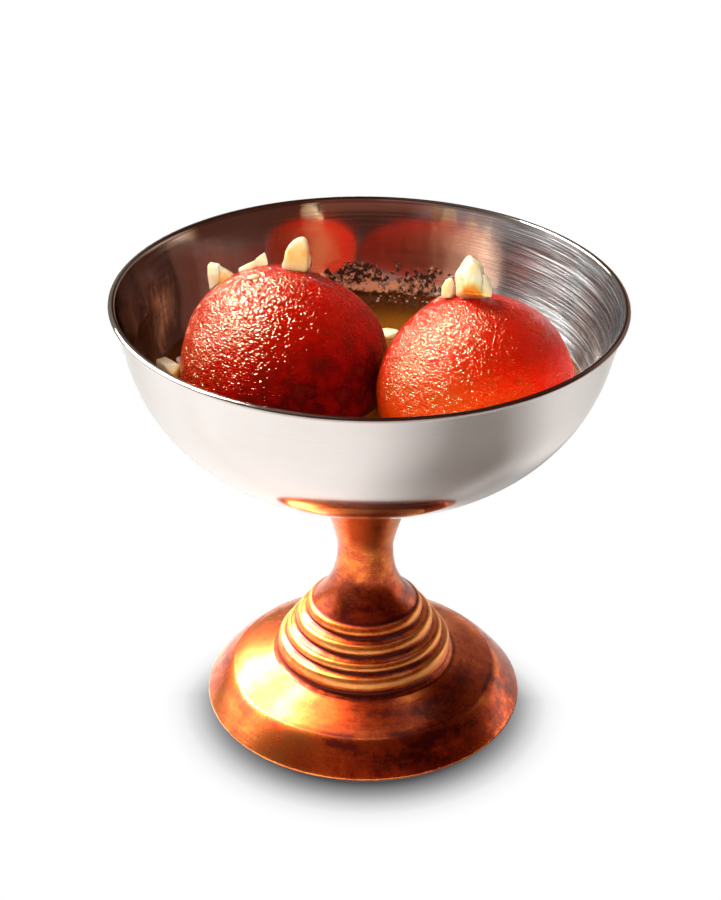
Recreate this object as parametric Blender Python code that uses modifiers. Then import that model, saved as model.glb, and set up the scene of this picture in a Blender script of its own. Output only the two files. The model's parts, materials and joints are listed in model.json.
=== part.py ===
"""Two gulab jamuns in syrup with chopped nuts, in a steel bowl on a turned copper foot.

Metres, +Z up. The foot stands on z = 0 and its axis is the Z axis. +X is to the right and -Y to the
front, the side from which both sweets are seen. Every size is in millimetres times MM.
"""
import math

import bmesh
import bpy
import numpy as np

MM = 0.001

# Fit of the pieces.
GAP = 0.3 * MM                    # air between two solids that touch
MERGE = 0.01 * MM                 # merge distance of turned shapes on their axis

# Steel bowl: a flat floor, one arc, a straight flared wall and a flattened lip.
LIP_CENTRE = (51.3 * MM, 94.9 * MM)
LIP_HALF_WIDTH = 0.7 * MM
LIP_HALF_HEIGHT = 0.38 * MM
LIP_FROM = 185.0                  # angles round the lip, from the inner skin over to the outer
LIP_TO = -95.0
LIP_POINTS = 9
WALL = 0.8 * MM
FLOOR_RADIUS = 13.5 * MM          # flat part of the underside
UNDERSIDE_HEIGHT = 57.3 * MM
BOWL_ARC = 36.5 * MM              # radius of the outer arc
BOWL_STEPS = 48
ARC_POINTS = 10                   # on each skin of the wall

# Copper stem and foot.
STEM_TOP_RADIUS = 12.4 * MM
WAIST_RADIUS = 6.0 * MM
WAIST_HEIGHT = 37.3 * MM
STEM_BASE_RADIUS = 11.33 * MM
STEM_BASE_HEIGHT = 23.14 * MM
SPREAD_BELOW = 2.7                # powers by which the stem spreads from its waist
SPREAD_ABOVE = 1.25
RING_EDGES = ((11.33, 23.14), (13.71, 20.0), (15.97, 16.7), (17.96, 14.15), (19.71, 9.85))
RING_SECTION = ((0.0, 0.0), (0.36, 0.16), (0.50, 0.40), (0.42, 0.66), (0.52, 0.84))
SHOULDER = (28.2 * MM, 6.6 * MM)  # where the low dome turns down into the skirt
DOME_POWER = 1.35
DOME_SAG = 0.6 * MM               # hollow at the top of the dome, next to the last ring
SKIRT_POWER = 1.25
SKIRT_SHARES = (0.22, 0.5, 0.8)
FOOT_RADIUS = 34.3 * MM
FOOT_LIP = 0.5 * MM               # upright edge that stands on the table
FOOT_STEPS = 40

# Syrup.
SYRUP_LEVEL = 75.0 * MM
SYRUP_POINTS = 7

# Gulab jamuns: centre, radius and the soft lobes that make each one uneven.
# A lobe is a direction, a height as a share of the radius, and a width.
LEFT_CENTRE = np.array((-17.1, -2.3, 80.0)) * MM
LEFT_RADIUS = 21.0 * MM
LEFT_LOBES = (
    ((-0.72, 0.34, 0.60), 0.020, 0.10),
    ((0.42, 0.46, 0.78), -0.056, 0.085),
    ((0.87, 0.25, 0.43), 0.018, 0.08),
    ((-0.99, 0.07, 0.12), -0.014, 0.06),
    ((0.0, -0.6, -0.8), -0.030, 0.30),
)
RIGHT_CENTRE = np.array((21.2, -15.9, 82.0)) * MM
RIGHT_RADIUS = 19.5 * MM
RIGHT_LOBES = (
    ((-0.37, 0.46, 0.81), 0.036, 0.014),
    ((0.64, 0.38, 0.67), 0.028, 0.08),
    ((-0.80, 0.30, 0.52), -0.012, 0.06),
    ((0.0, -0.6, -0.8), -0.030, 0.30),
)
BALL_CLEARANCE = 0.5 * MM         # to the wall that the ball is pressed against
BALL_SEGMENTS = 26
BALL_RINGS = 15

# Nut pieces stand or lie in a plane that leans back by this angle.
NUT_LEAN = math.radians(28.0)
NUT_BEVEL = 0.45 * MM

COPPER = (0.72, 0.30, 0.10)
STEEL = (0.74, 0.72, 0.70)
SYRUP_AMBER = (0.45, 0.20, 0.03)
FRIED_RED = (0.52, 0.04, 0.01)
NUT_CREAM = (0.93, 0.80, 0.52)


def make_material(name, color, roughness, metallic=0.0):
    """A plain Principled material."""
    material = bpy.data.materials.new(name)
    material.use_nodes = True
    shader = material.node_tree.nodes["Principled BSDF"]
    shader.inputs["Base Color"].default_value = (*color, 1.0)
    shader.inputs["Roughness"].default_value = roughness
    shader.inputs["Metallic"].default_value = metallic
    return material


def add_object(name, mesh, material, collection):
    """Puts a mesh in the scene as a named object with its material."""
    mesh.materials.clear()
    if material is not None:
        mesh.materials.append(material)
    piece = bpy.data.objects.new(name, mesh)
    collection.objects.link(piece)
    return piece


def add_cutter(name, mesh, collection):
    """A hidden object that only cuts others."""
    cutter = add_object(name, mesh, None, collection)
    cutter.hide_render = True
    cutter.display_type = "WIRE"
    return cutter


def cut(piece, cutter):
    """Takes the cutter's shape out of the piece."""
    boolean = piece.modifiers.new("cut_" + cutter.name, "BOOLEAN")
    boolean.operation = "DIFFERENCE"
    boolean.solver = "EXACT"
    boolean.object = cutter


def arc(centre, radius, start, end, count):
    """Points on an arc in the profile plane, angles in degrees from +X."""
    angles = np.radians(np.linspace(start, end, count))
    return [(centre[0] + radius * math.cos(a), centre[1] + radius * math.sin(a)) for a in angles]


def turned(name, profile, steps, material, collection):
    """A solid of revolution. The profile is (radius, height) and runs down its outer side."""
    mesh = bpy.data.meshes.new(name)
    points = [(radius, 0.0, height) for radius, height in profile]
    edges = [(i, i + 1) for i in range(len(points) - 1)]
    mesh.from_pydata(points, edges, [])
    piece = add_object(name, mesh, material, collection)
    screw = piece.modifiers.new("turn", "SCREW")
    screw.angle = math.tau
    screw.steps = steps
    screw.render_steps = steps
    screw.use_merge_vertices = True
    screw.merge_threshold = MERGE
    screw.use_smooth_shade = True
    return piece


def flare_angle():
    """Angle of the straight wall from upright, where it leaves the arc at a tangent."""
    centre_height = UNDERSIDE_HEIGHT + BOWL_ARC
    across = LIP_CENTRE[0] - FLOOR_RADIUS
    up = LIP_CENTRE[1] - centre_height
    reach = math.hypot(across, up)
    return math.acos(BOWL_ARC / reach) - math.atan2(up, across)


def wall_arc(inset):
    """Centre and radius of the bowl's arc, moved inwards by inset from the outer skin."""
    return (FLOOR_RADIUS, UNDERSIDE_HEIGHT + BOWL_ARC), BOWL_ARC - inset


def bowl_profile():
    """Inner skin from the floor up, over the lip, and down the outer skin."""
    centre, inner = wall_arc(WALL)
    flare = math.degrees(flare_angle())
    points = [(0.0, centre[1] - inner)]
    points += arc(centre, inner, -90.0, -flare, ARC_POINTS)
    for angle in np.radians(np.linspace(LIP_FROM, LIP_TO, LIP_POINTS)):
        across = LIP_HALF_WIDTH * math.cos(angle)
        up = LIP_HALF_HEIGHT * math.sin(angle)
        points.append((LIP_CENTRE[0] + across, LIP_CENTRE[1] + up))
    points += arc(centre, BOWL_ARC, -flare, -90.0, ARC_POINTS)
    points += [(0.0, UNDERSIDE_HEIGHT)]
    return points


def stem_radius(height):
    """Radius of the stem: it spreads from the waist, fast below and slowly above."""
    if height < WAIST_HEIGHT:
        share = (WAIST_HEIGHT - height) / (WAIST_HEIGHT - STEM_BASE_HEIGHT)
        return WAIST_RADIUS + (STEM_BASE_RADIUS - WAIST_RADIUS) * share ** SPREAD_BELOW
    top = UNDERSIDE_HEIGHT - GAP
    share = (height - WAIST_HEIGHT) / (top - WAIST_HEIGHT)
    return WAIST_RADIUS + (STEM_TOP_RADIUS - WAIST_RADIUS) * share ** SPREAD_ABOVE


def ring_profile():
    """Four stepped rings. Each bulges below its upper edge, is undercut, and runs out to the next."""
    points = []
    for (r0, z0), (r1, z1) in zip(RING_EDGES[:-1], RING_EDGES[1:]):
        across = r1 - r0
        drop = z0 - z1
        points += [((r0 + across * u) * MM, (z0 - drop * v) * MM) for u, v in RING_SECTION]
    return points


def dome_profile():
    """The low dome from the last ring to the shoulder, then the skirt down to the lip."""
    start_r, start_z = (value * MM for value in RING_EDGES[-1])
    end_r, end_z = SHOULDER
    points = []
    for share in np.linspace(0.0, 1.0, 5):
        radius = start_r + (end_r - start_r) * share
        sag = DOME_SAG * math.sin(math.pi * share) * (1.0 - share)
        points.append((radius, start_z + (end_z - start_z) * share ** DOME_POWER - sag))
    skirt = FOOT_RADIUS - end_r
    for share in SKIRT_SHARES:
        height = end_z * (1.0 - share ** SKIRT_POWER) + FOOT_LIP * share
        points.append((end_r + skirt * share, height))
    points += [(FOOT_RADIUS, FOOT_LIP), (FOOT_RADIUS, 0.0)]
    return points


def foot_profile():
    """Whole copper piece, from the middle of its top down to the middle of its base."""
    top = UNDERSIDE_HEIGHT - GAP
    heights = list(np.linspace(top, WAIST_HEIGHT, 5))
    heights += list(np.linspace(WAIST_HEIGHT, STEM_BASE_HEIGHT, 6))[1:-1]
    points = [(0.0, top)]
    points += [(stem_radius(height), height) for height in heights]
    return points + ring_profile() + dome_profile() + [(0.0, 0.0)]


def ball_surface(directions, radius, lobes):
    """Distance from the centre along unit directions: a sphere with soft lobes and dents."""
    reach = np.ones(len(directions))
    for axis, height, width in lobes:
        unit = np.array(axis) / np.linalg.norm(axis)
        reach += height * np.exp((directions @ unit - 1.0) / width)
    return radius * reach


def press_into_bowl(points, clearance):
    """Keeps points inside the bowl's inner skin: a soft ball goes flat where it rests."""
    centre, radius = wall_arc(WALL + clearance)
    flat = np.hypot(points[:, 0], points[:, 1])
    across = flat - centre[0]
    down = centre[1] - points[:, 2]
    distance = np.hypot(across, down)
    outside = (distance > radius) & (across > 0.0) & (down > 0.0)
    scale = np.where(outside, radius / np.maximum(distance, MM), 1.0)
    new_flat = np.where(outside, centre[0] + across * scale, flat)
    ratio = new_flat / np.maximum(flat, MM)
    lowest = centre[1] - radius
    height = np.where(outside, centre[1] - down * scale, points[:, 2])
    return np.stack([points[:, 0] * ratio, points[:, 1] * ratio, np.maximum(height, lowest)], axis=1)


def press_together(points, centre, radius, other_centre, other_radius, space):
    """Keeps points on their own ball's side of the plane where the two balls meet."""
    axis = other_centre - centre
    length = np.linalg.norm(axis)
    axis = axis / length
    share = radius / (radius + other_radius)
    limit = length * share - space / 2.0
    along = (points - centre) @ axis
    return points - np.outer(np.maximum(along - limit, 0.0), axis)


def ball_mesh(name, ball, pressed=True, grow=0.0):
    """Mesh of one gulab jamun, or of its slightly larger round cutter."""
    centre, radius, lobes, other_centre, other_radius = ball
    sphere = bmesh.new()
    bmesh.ops.create_uvsphere(sphere, u_segments=BALL_SEGMENTS, v_segments=BALL_RINGS, radius=1.0)
    directions = np.array([vertex.co for vertex in sphere.verts])
    reach = ball_surface(directions, radius, lobes) + grow
    points = centre + directions * reach[:, None]
    if pressed:
        points = press_into_bowl(points, BALL_CLEARANCE)
        points = press_together(points, centre, radius, other_centre, other_radius, GAP)
    for vertex, point in zip(sphere.verts, points):
        vertex.co = point
    mesh = bpy.data.meshes.new(name)
    sphere.to_mesh(mesh)
    sphere.free()
    mesh.shade_smooth()
    return mesh


def nut_axes(turn=0.0, lean=NUT_LEAN):
    """Right, up and front axes of a nut's outline plane, which leans back and turns about Z."""
    right = np.array((math.cos(turn), math.sin(turn), 0.0))
    back = np.array((-math.sin(turn), math.cos(turn), 0.0))
    up = back * math.sin(lean) + np.array((0.0, 0.0, math.cos(lean)))
    return right, up, np.cross(right, up)


def nut_mesh(name, outline, place, depth, front=0.0, taper=0.8, axes=None, grow=0.0):
    """A chopped nut piece: an outline in its own plane, carried back by depth and tapered.

    outline and place are in millimetres. The outline lies front of the place, and the back face is
    the same outline shrunk about its middle.
    """
    right, up, out = nut_axes() if axes is None else axes
    flat = np.array(outline)
    middle = flat.mean(axis=0)
    spread = flat - middle
    swell = 1.0 + grow / (MM * np.linalg.norm(spread, axis=1).mean())
    rings = (
        (front + grow / MM, swell * 0.94),
        (front - depth * 0.45, swell),
        (front - depth - grow / MM, swell * taper),
    )
    shape = bmesh.new()
    loops = []
    for offset, scale in rings:
        loop = []
        for x, y in middle + spread * scale:
            point = np.array(place) + right * x + up * y + out * offset
            loop.append(shape.verts.new(point * MM))
        loops.append(loop)
    count = len(flat)
    shape.faces.new(loops[0])
    shape.faces.new(loops[-1][::-1])
    for front_loop, back_loop in zip(loops[:-1], loops[1:]):
        for i in range(count):
            j = (i + 1) % count
            shape.faces.new((front_loop[i], back_loop[i], back_loop[j], front_loop[j]))
    mesh = bpy.data.meshes.new(name)
    bmesh.ops.recalc_face_normals(shape, faces=shape.faces)
    shape.to_mesh(mesh)
    shape.free()
    return mesh


NUTS_ON_LEFT = {
    "nut_shoulder": dict(
        outline=((-2.0, -1.8), (0.4, -1.2), (1.6, -0.2), (2.4, 1.0), (0.9, 2.8), (-0.1, 3.2), (-0.9, 2.6),
                 (-3.1, 2.7), (-2.6, 0.2)),
        place=(-29.5, 3.85, 96.4), depth=3.4, front=1.4),
    "nut_shard": dict(
        outline=((-3.0, -2.2), (0.4, -1.8), (3.0, -0.8), (2.9, 1.3), (2.5, 2.3), (0.9, 1.2), (-0.4, 0.1),
                 (-2.9, -1.0)),
        place=(-23.4, 4.0, 100.0), depth=2.6, front=0.8),
    "nut_sliver": dict(
        outline=((-1.5, -0.4), (0.8, -0.6), (1.6, 0.4), (0.4, 0.7), (-1.2, 0.3)),
        place=(-22.9, -3.6, 100.4), depth=1.2, front=0.5),
    "nut_peak": dict(
        outline=((-3.0, -2.8), (2.2, -3.4), (2.9, -0.5), (2.7, 1.8), (2.2, 3.0), (0.9, 3.6), (-0.5, 3.0),
                 (-2.0, 1.0), (-2.9, -0.8)),
        place=(-14.65, 2.2, 102.8), depth=4.2, front=1.6),
}
NUTS_ON_RIGHT = {
    "nut_crown": dict(
        outline=((-2.8, -3.6), (0.6, -4.2), (3.3, -3.6), (3.6, -1.2), (2.9, 1.2), (1.1, 2.2), (-1.1, 4.0),
                 (-2.1, 3.0), (-3.5, 0.3)),
        place=(19.8, -13.7, 105.3), depth=5.2, front=2.2),
    "nut_crumb": dict(
        outline=((-1.4, -1.9), (1.1, -1.9), (1.4, 0.9), (0.6, 1.7), (-0.5, 1.4), (-1.4, 0.3)),
        place=(15.3, -10.2, 102.2), depth=2.6, front=1.2),
}
NUTS_IN_SYRUP = {
    "nut_floating": dict(
        outline=((-2.8, -1.2), (-1.0, -2.2), (1.0, -1.6), (3.2, -0.4), (2.3, 1.0), (-0.3, 2.2), (-1.6, 1.4),
                 (-3.0, 0.6)),
        place=(4.2, 23.4, 75.6), depth=1.8, front=0.5, axes=nut_axes(0.0, math.radians(86.0))),
    "nut_at_wall": dict(
        outline=((-1.9, -1.6), (1.0, -2.6), (4.3, -1.2), (3.9, 0.2), (1.5, 1.7), (-2.2, 2.0), (-2.9, 1.5),
                 (-3.0, 0.2)),
        place=(-41.5, 3.5, 77.4), depth=2.4, front=0.5,
        axes=nut_axes(math.radians(-45.0), math.radians(80.0))),
}


def add_nut(name, spec, material, collection):
    """One nut piece with its edges eased."""
    piece = add_object(name, nut_mesh(name, **spec), material, collection)
    bevel = piece.modifiers.new("ease", "BEVEL")
    bevel.width = NUT_BEVEL
    bevel.segments = 1
    bevel.limit_method = "ANGLE"
    return piece


def syrup_profile():
    """Syrup from its level down along the bowl, with a gap to the steel."""
    inset = WALL + GAP
    centre, radius = wall_arc(inset)
    start = -math.degrees(math.asin((centre[1] - SYRUP_LEVEL) / radius))
    points = [(0.0, SYRUP_LEVEL)]
    points += arc(centre, radius, start, -90.0, SYRUP_POINTS)
    return points + [(0.0, centre[1] - radius)]


def build():
    """Models every piece."""
    for old in list(bpy.data.objects):
        bpy.data.objects.remove(old, do_unlink=True)
    dessert = bpy.data.collections.new("gulab_jamun")
    cutters = bpy.data.collections.new("cutters")
    for collection in (dessert, cutters):
        bpy.context.scene.collection.children.link(collection)

    steel = make_material("brushed_steel", STEEL, 0.28, 1.0)
    copper = make_material("copper", COPPER, 0.35, 1.0)
    syrup_look = make_material("syrup", SYRUP_AMBER, 0.05)
    fried = make_material("fried_dough", FRIED_RED, 0.25)
    nut_look = make_material("nut", NUT_CREAM, 0.55)

    turned("bowl", bowl_profile(), BOWL_STEPS, steel, dessert)
    turned("copper_foot", foot_profile(), FOOT_STEPS, copper, dessert)
    syrup = turned("syrup", syrup_profile(), BOWL_STEPS, syrup_look, dessert)

    left = (LEFT_CENTRE, LEFT_RADIUS, LEFT_LOBES, RIGHT_CENTRE, RIGHT_RADIUS)
    right = (RIGHT_CENTRE, RIGHT_RADIUS, RIGHT_LOBES, LEFT_CENTRE, LEFT_RADIUS)
    for side, ball, nuts in (("left", left, NUTS_ON_LEFT), ("right", right, NUTS_ON_RIGHT)):
        name = "gulab_jamun_" + side
        add_object(name, ball_mesh(name, ball), fried, dessert)
        cutter_name = "room_for_" + side
        cutter = add_cutter(cutter_name, ball_mesh(cutter_name, ball, pressed=False, grow=GAP), cutters)
        cut(syrup, cutter)
        for nut_name, spec in nuts.items():
            cut(add_nut(nut_name, spec, nut_look, dessert), cutter)
    for nut_name, spec in NUTS_IN_SYRUP.items():
        add_nut(nut_name, spec, nut_look, dessert)
        cutter_name = "room_for_" + nut_name
        cut(syrup, add_cutter(cutter_name, nut_mesh(cutter_name, grow=GAP, **spec), cutters))


build()
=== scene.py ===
"""Two gulab jamuns in syrup with chopped nuts, in a brushed steel bowl on an aged copper foot.

Metres, +Z up. The foot stands on z = 0 and its axis is the Z axis. The front is -Y. Sizes are in
millimetres times MM. Pieces are surfaces of two parameters, worked out as whole numpy arrays.
"""
from __future__ import annotations

import json
import logging
import math
from dataclasses import dataclass, field
from enum import Enum
from typing import Sequence

import bpy
import numpy as np
from mathutils import Matrix, Vector

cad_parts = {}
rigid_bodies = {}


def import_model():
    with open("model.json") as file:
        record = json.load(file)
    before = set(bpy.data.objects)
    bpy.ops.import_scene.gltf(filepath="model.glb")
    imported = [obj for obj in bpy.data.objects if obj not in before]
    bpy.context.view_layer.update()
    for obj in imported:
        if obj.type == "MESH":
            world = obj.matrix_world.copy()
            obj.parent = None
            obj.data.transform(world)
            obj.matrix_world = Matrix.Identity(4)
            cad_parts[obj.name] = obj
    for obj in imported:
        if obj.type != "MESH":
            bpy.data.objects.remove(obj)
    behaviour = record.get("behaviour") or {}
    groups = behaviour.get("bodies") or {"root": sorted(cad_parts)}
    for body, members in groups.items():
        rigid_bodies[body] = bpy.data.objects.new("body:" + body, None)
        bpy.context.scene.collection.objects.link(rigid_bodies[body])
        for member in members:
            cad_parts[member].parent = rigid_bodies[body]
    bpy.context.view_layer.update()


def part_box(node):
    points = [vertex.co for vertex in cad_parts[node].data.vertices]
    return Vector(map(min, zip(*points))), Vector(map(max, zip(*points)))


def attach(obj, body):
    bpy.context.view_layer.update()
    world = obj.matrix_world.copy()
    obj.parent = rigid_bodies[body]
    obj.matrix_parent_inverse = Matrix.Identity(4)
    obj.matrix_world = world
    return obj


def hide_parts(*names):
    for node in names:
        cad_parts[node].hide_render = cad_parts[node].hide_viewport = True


MM = 0.001
BODY = "root"

Array = np.ndarray
Pair = tuple[float, float]
Triple = tuple[float, float, float]

log = logging.getLogger("gulab_jamun")


class Slot(Enum):
    """Material slots of the record."""

    STEEL = "steel"
    COPPER = "copper"
    SYRUP = "syrup"
    DOUGH = "fried_dough"
    NUT = "nut"


# ---------------------------------------------------------------------------------------------
# Arrays: noise, curves and grids
# ---------------------------------------------------------------------------------------------


def eased(share: Array) -> Array:
    """The smooth step 3t^2 - 2t^3 of a share t clipped to 0..1."""
    share = np.clip(share, 0.0, 1.0)
    return share * share * (3.0 - 2.0 * share)


def bell(value: Array, middle: float, width: float) -> Array:
    """The bell exp(-((value - middle) / width)^2)."""
    return np.exp(-(((value - middle) / width) ** 2))


def unit(way: Triple) -> Array:
    """A direction as an array of length 1."""
    return np.array(way) / np.linalg.norm(way)


def whole_turn(count: int) -> Array:
    """Evenly spaced angles from 0 to just short of a whole turn."""
    return np.linspace(0.0, math.tau, count, endpoint=False)


def ball(polar: Array, turn: Array) -> Array:
    """The directions (sin p cos t, sin p sin t, cos p) for each polar angle p and turn t.

    Args:
        polar: angles from the pole, shape (rows,).
        turn: angles round the pole, shape (columns,).

    Returns:
        Unit directions, shape (rows, columns, 3).
    """
    out = np.sin(polar)[:, None]
    height = np.cos(polar)[:, None] + 0.0 * turn
    return np.stack([out * np.cos(turn), out * np.sin(turn), height], axis=-1)


def scrambled(cells: Array, seed: int) -> Array:
    """Gives each whole-number cell an even pseudo-random value.

    The three numbers of the cell and the seed are multiplied by large odd numbers, added, and
    folded onto themselves twice.

    Args:
        cells: whole numbers, shape (..., 3).
        seed: picks another field of values.

    Returns:
        Values from -1 to 1, shape (...).
    """
    whole = cells.astype(np.int64).astype(np.uint32)
    mixed = whole[..., 0] * np.uint32(374761393) + whole[..., 1] * np.uint32(668265263)
    mixed = mixed + whole[..., 2] * np.uint32(2246822519) + np.uint32((seed * 3266489917) % 2**32)
    mixed = (mixed ^ (mixed >> np.uint32(13))) * np.uint32(1274126177)
    mixed = (mixed ^ (mixed >> np.uint32(15))) * np.uint32(2654435761)
    mixed = mixed ^ (mixed >> np.uint32(16))
    return mixed.astype(np.float64) / 2.0**31 - 1.0


def wave(points: Array, seed: int = 0) -> Array:
    """Gradient noise: each corner of a unit cell has a slope, and the slopes are eased together.

    Args:
        points: positions in cells, shape (n, 3).
        seed: picks another field.

    Returns:
        Heights of about -1 to 1, shape (n,).
    """
    base = np.floor(points)
    local = points - base
    blend = eased(local)
    total = np.zeros(len(points))
    for corner in np.ndindex(2, 2, 2):
        step = np.array(corner, float)
        offset = local - step
        slope = np.stack([scrambled(base + step, seed * 3 + axis) for axis in range(3)], axis=-1)
        weight = np.prod(np.where(step > 0.5, blend, 1.0 - blend), axis=-1)
        total += weight * np.einsum("ij,ij->i", slope, offset)
    return total * 1.5


def layered(points: Array, octaves: int, seed: int = 0, gain: float = 0.5) -> Array:
    """Sum of waves, each twice as fine and gain times as high as the one before."""
    total = np.zeros(len(points))
    height = 1.0
    for octave in range(octaves):
        total += height * wave(points * 2.0**octave, seed + octave)
        height *= gain
    return total


def arc(centre: Pair, radius: float, start: float, end: float, count: int) -> Array:
    """Points on an arc in the profile plane, angles in degrees from +X."""
    angles = np.radians(np.linspace(start, end, count))
    return np.stack([centre[0] + radius * np.cos(angles), centre[1] + radius * np.sin(angles)], axis=1)


def straight(start: Array, end: Array, count: int) -> Array:
    """Evenly spaced points between two points, without either end."""
    shares = np.linspace(0.0, 1.0, count + 2)[1:-1, None]
    return np.asarray(start) * (1.0 - shares) + np.asarray(end) * shares


def flowing(points: Array, per_span: int) -> Array:
    """Catmull-Rom curve: between two points it is a cubic whose slope at each is half the step
    from the point before to the point after.

    Args:
        points: the points that the curve passes through, shape (n, d).
        per_span: points on each span.

    Returns:
        Points on the curve, with the last point.
    """
    points = np.asarray(points, float)
    first = 2.0 * points[0] - points[1]
    last = 2.0 * points[-1] - points[-2]
    padded = np.concatenate([first[None], points, last[None]])
    share = np.linspace(0.0, 1.0, per_span, endpoint=False)[None, :, None]
    before, start, end, after = (padded[i : len(padded) - 3 + i, None, :] for i in range(4))
    curve = start + 0.5 * share * (
        (end - before)
        + share * ((2.0 * before - 5.0 * start + 4.0 * end - after)
                   + share * (3.0 * (start - end) + after - before))
    )
    return np.concatenate([curve.reshape(-1, points.shape[1]), points[-1:]])


def eased_corners(path: Array, corners: Sequence[int], reach: float, count: int = 4) -> Array:
    """Rounds chosen corners of a path, each by a quadratic curve that starts and ends at reach.

    Args:
        path: points, shape (n, 2).
        corners: indices of the corners to round.
        reach: distance from the corner to where its curve starts and ends.
        count: points on each curve.

    Returns:
        The path with each corner replaced by its curve.
    """
    share = np.linspace(0.0, 1.0, count)[:, None]
    pieces = []
    start = 0
    for corner in corners:
        pieces.append(path[start:corner])
        ends = []
        for neighbour in (path[corner - 1], path[corner + 1]):
            way = neighbour - path[corner]
            length = np.linalg.norm(way)
            ends.append(path[corner] + way * min(reach / length, 0.45))
        pieces.append(
            ends[0] * (1.0 - share) ** 2 + path[corner] * 2.0 * share * (1.0 - share) + ends[1] * share**2
        )
        start = corner + 1
    pieces.append(path[start:])
    return np.concatenate(pieces)


def run_length(path: Array) -> Array:
    """Distance along a path at each of its points."""
    steps = np.linalg.norm(np.diff(path, axis=0), axis=1)
    return np.concatenate([[0.0], np.cumsum(steps)])


def spun(profile: Array, segments: int) -> Array:
    """Turns a profile round the Z axis: the point (r, z) at angle a goes to (r cos a, r sin a, z).

    Args:
        profile: radii and heights, shape (n, 2).
        segments: steps round the axis.

    Returns:
        A grid of points, shape (n, segments, 3).
    """
    angle = whole_turn(segments)[None, :]
    radius = profile[:, :1]
    height = np.broadcast_to(profile[:, 1:], (len(profile), segments))
    return np.stack([radius * np.cos(angle), radius * np.sin(angle), height], axis=-1)


def in_vertex_order(grids: Array) -> Array:
    """Values on grids whose end rows are poles, in one row with a single value for each pole.

    Args:
        grids: shape (bodies, rows, columns, ...).

    Returns:
        The values, shape (vertices, ...).
    """
    bodies, _, _, *rest = grids.shape
    inner = grids[:, 1:-1].reshape(bodies, -1, *rest)
    return np.concatenate([grids[:, 0, :1], inner, grids[:, -1, :1]], axis=1).reshape(-1, *rest)


def closed_bodies(name: str, grids: Array, along: Array | None = None) -> bpy.types.Mesh:
    """Makes one mesh of closed bodies from grids whose columns wrap round and whose end rows are
    poles.

    Row i and column j of a grid give a vertex, and four neighbours give a face. Each row is an
    anticlockwise turn seen from the first row's side. The end rows are single points.

    Args:
        name: the mesh's name.
        grids: points, shape (bodies, rows, columns, 3), or (rows, columns, 3) for one body.
        along: distance of each row along its profile, for the UV map.

    Returns:
        A smooth shaded mesh with a UV map: share of a turn, and distance along the profile.
    """
    grids = grids if grids.ndim == 4 else grids[None]
    bodies, rows, columns = grids.shape[:3]
    inner = rows - 2
    each = inner * columns + 2
    vertices = in_vertex_order(grids)
    index = 1 + np.arange(inner * columns).reshape(inner, columns)
    right = np.roll(index, -1, axis=1)
    quads = np.stack([index[:-1], index[1:], right[1:], right[:-1]], axis=-1).reshape(-1)
    top = np.stack([np.zeros(columns, int), index[0], right[0]], axis=-1).ravel()
    bottom = np.stack([np.full(columns, each - 1), right[-1], index[-1]], axis=-1).ravel()
    shift = (np.arange(bodies) * each)[:, None]
    loops = (np.concatenate([quads, top, bottom])[None] + shift).ravel()
    sizes = np.tile(np.concatenate([np.full(len(quads) // 4, 4), np.full(2 * columns, 3)]), bodies)
    starts = np.concatenate([[0], np.cumsum(sizes)[:-1]])

    mesh = bpy.data.meshes.new(name)
    mesh.vertices.add(len(vertices))
    mesh.vertices.foreach_set("co", vertices.astype(np.float32).ravel())
    mesh.loops.add(len(loops))
    mesh.loops.foreach_set("vertex_index", loops.astype(np.int32))
    mesh.polygons.add(len(sizes))
    mesh.polygons.foreach_set("loop_start", starts.astype(np.int32))

    share = np.arange(columns) / columns
    step = 1.0 / columns
    distance = np.arange(rows, dtype=float) if along is None else along
    level = distance[1:-1, None]
    quad_u = np.stack([share, share, share + step, share + step], axis=-1)
    quad_u = np.broadcast_to(quad_u, (inner - 1, columns, 4))
    quad_v = np.concatenate([level[:-1], level[1:], level[1:], level[:-1]], axis=1)
    quad_v = np.broadcast_to(quad_v[:, None, :], (inner - 1, columns, 4))
    top_u = np.stack([share + step / 2, share, share + step], axis=-1)
    bottom_u = np.stack([share + step / 2, share + step, share], axis=-1)
    top_v = np.broadcast_to(distance[[0, 1, 1]], (columns, 3))
    bottom_v = np.broadcast_to(distance[[-1, -2, -2]], (columns, 3))
    u = np.concatenate([quad_u.ravel(), top_u.ravel(), bottom_u.ravel()])
    v = np.concatenate([quad_v.ravel(), top_v.ravel(), bottom_v.ravel()])
    places = np.stack([u, v], axis=-1).astype(np.float32).ravel()
    mesh.uv_layers.new(name="around").uv.foreach_set("vector", np.tile(places, bodies))
    mesh.update(calc_edges=True)
    mesh.shade_smooth()
    return mesh


def closed_ring(name: str, grid: Array) -> bpy.types.Mesh:
    """Makes a mesh of one ring-shaped body from a grid whose rows and columns both wrap round.

    Args:
        name: the mesh's name.
        grid: points, shape (rows, columns, 3); rows run round the section, columns round the ring.

    Returns:
        A smooth shaded mesh.
    """
    rows, columns = grid.shape[:2]
    index = np.arange(rows * columns).reshape(rows, columns)
    below = np.roll(index, -1, axis=0)
    quads = np.stack([index, below, np.roll(below, -1, axis=1), np.roll(index, -1, axis=1)], axis=-1)
    mesh = bpy.data.meshes.new(name)
    mesh.from_pydata(grid.reshape(-1, 3).tolist(), [], quads.reshape(-1, 4).tolist())
    mesh.shade_smooth()
    return mesh


def placed(
    mesh: bpy.types.Mesh, material: bpy.types.Material, nodes: Sequence[str] = ()
) -> None:
    """Puts a mesh in the scene as a piece that rides on the body and stands for CAD nodes.

    Args:
        mesh: its name becomes the piece's name.
        material: the piece's finish.
        nodes: CAD nodes that the piece replaces.
    """
    mesh.materials.append(material)
    piece = bpy.data.objects.new(mesh.name, mesh)
    bpy.context.scene.collection.objects.link(piece)
    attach(piece, BODY)
    if nodes:
        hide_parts(*nodes)
    log.info("%s: %d faces, stands for %s", piece.name, len(mesh.polygons), ", ".join(nodes) or "nothing")


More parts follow.
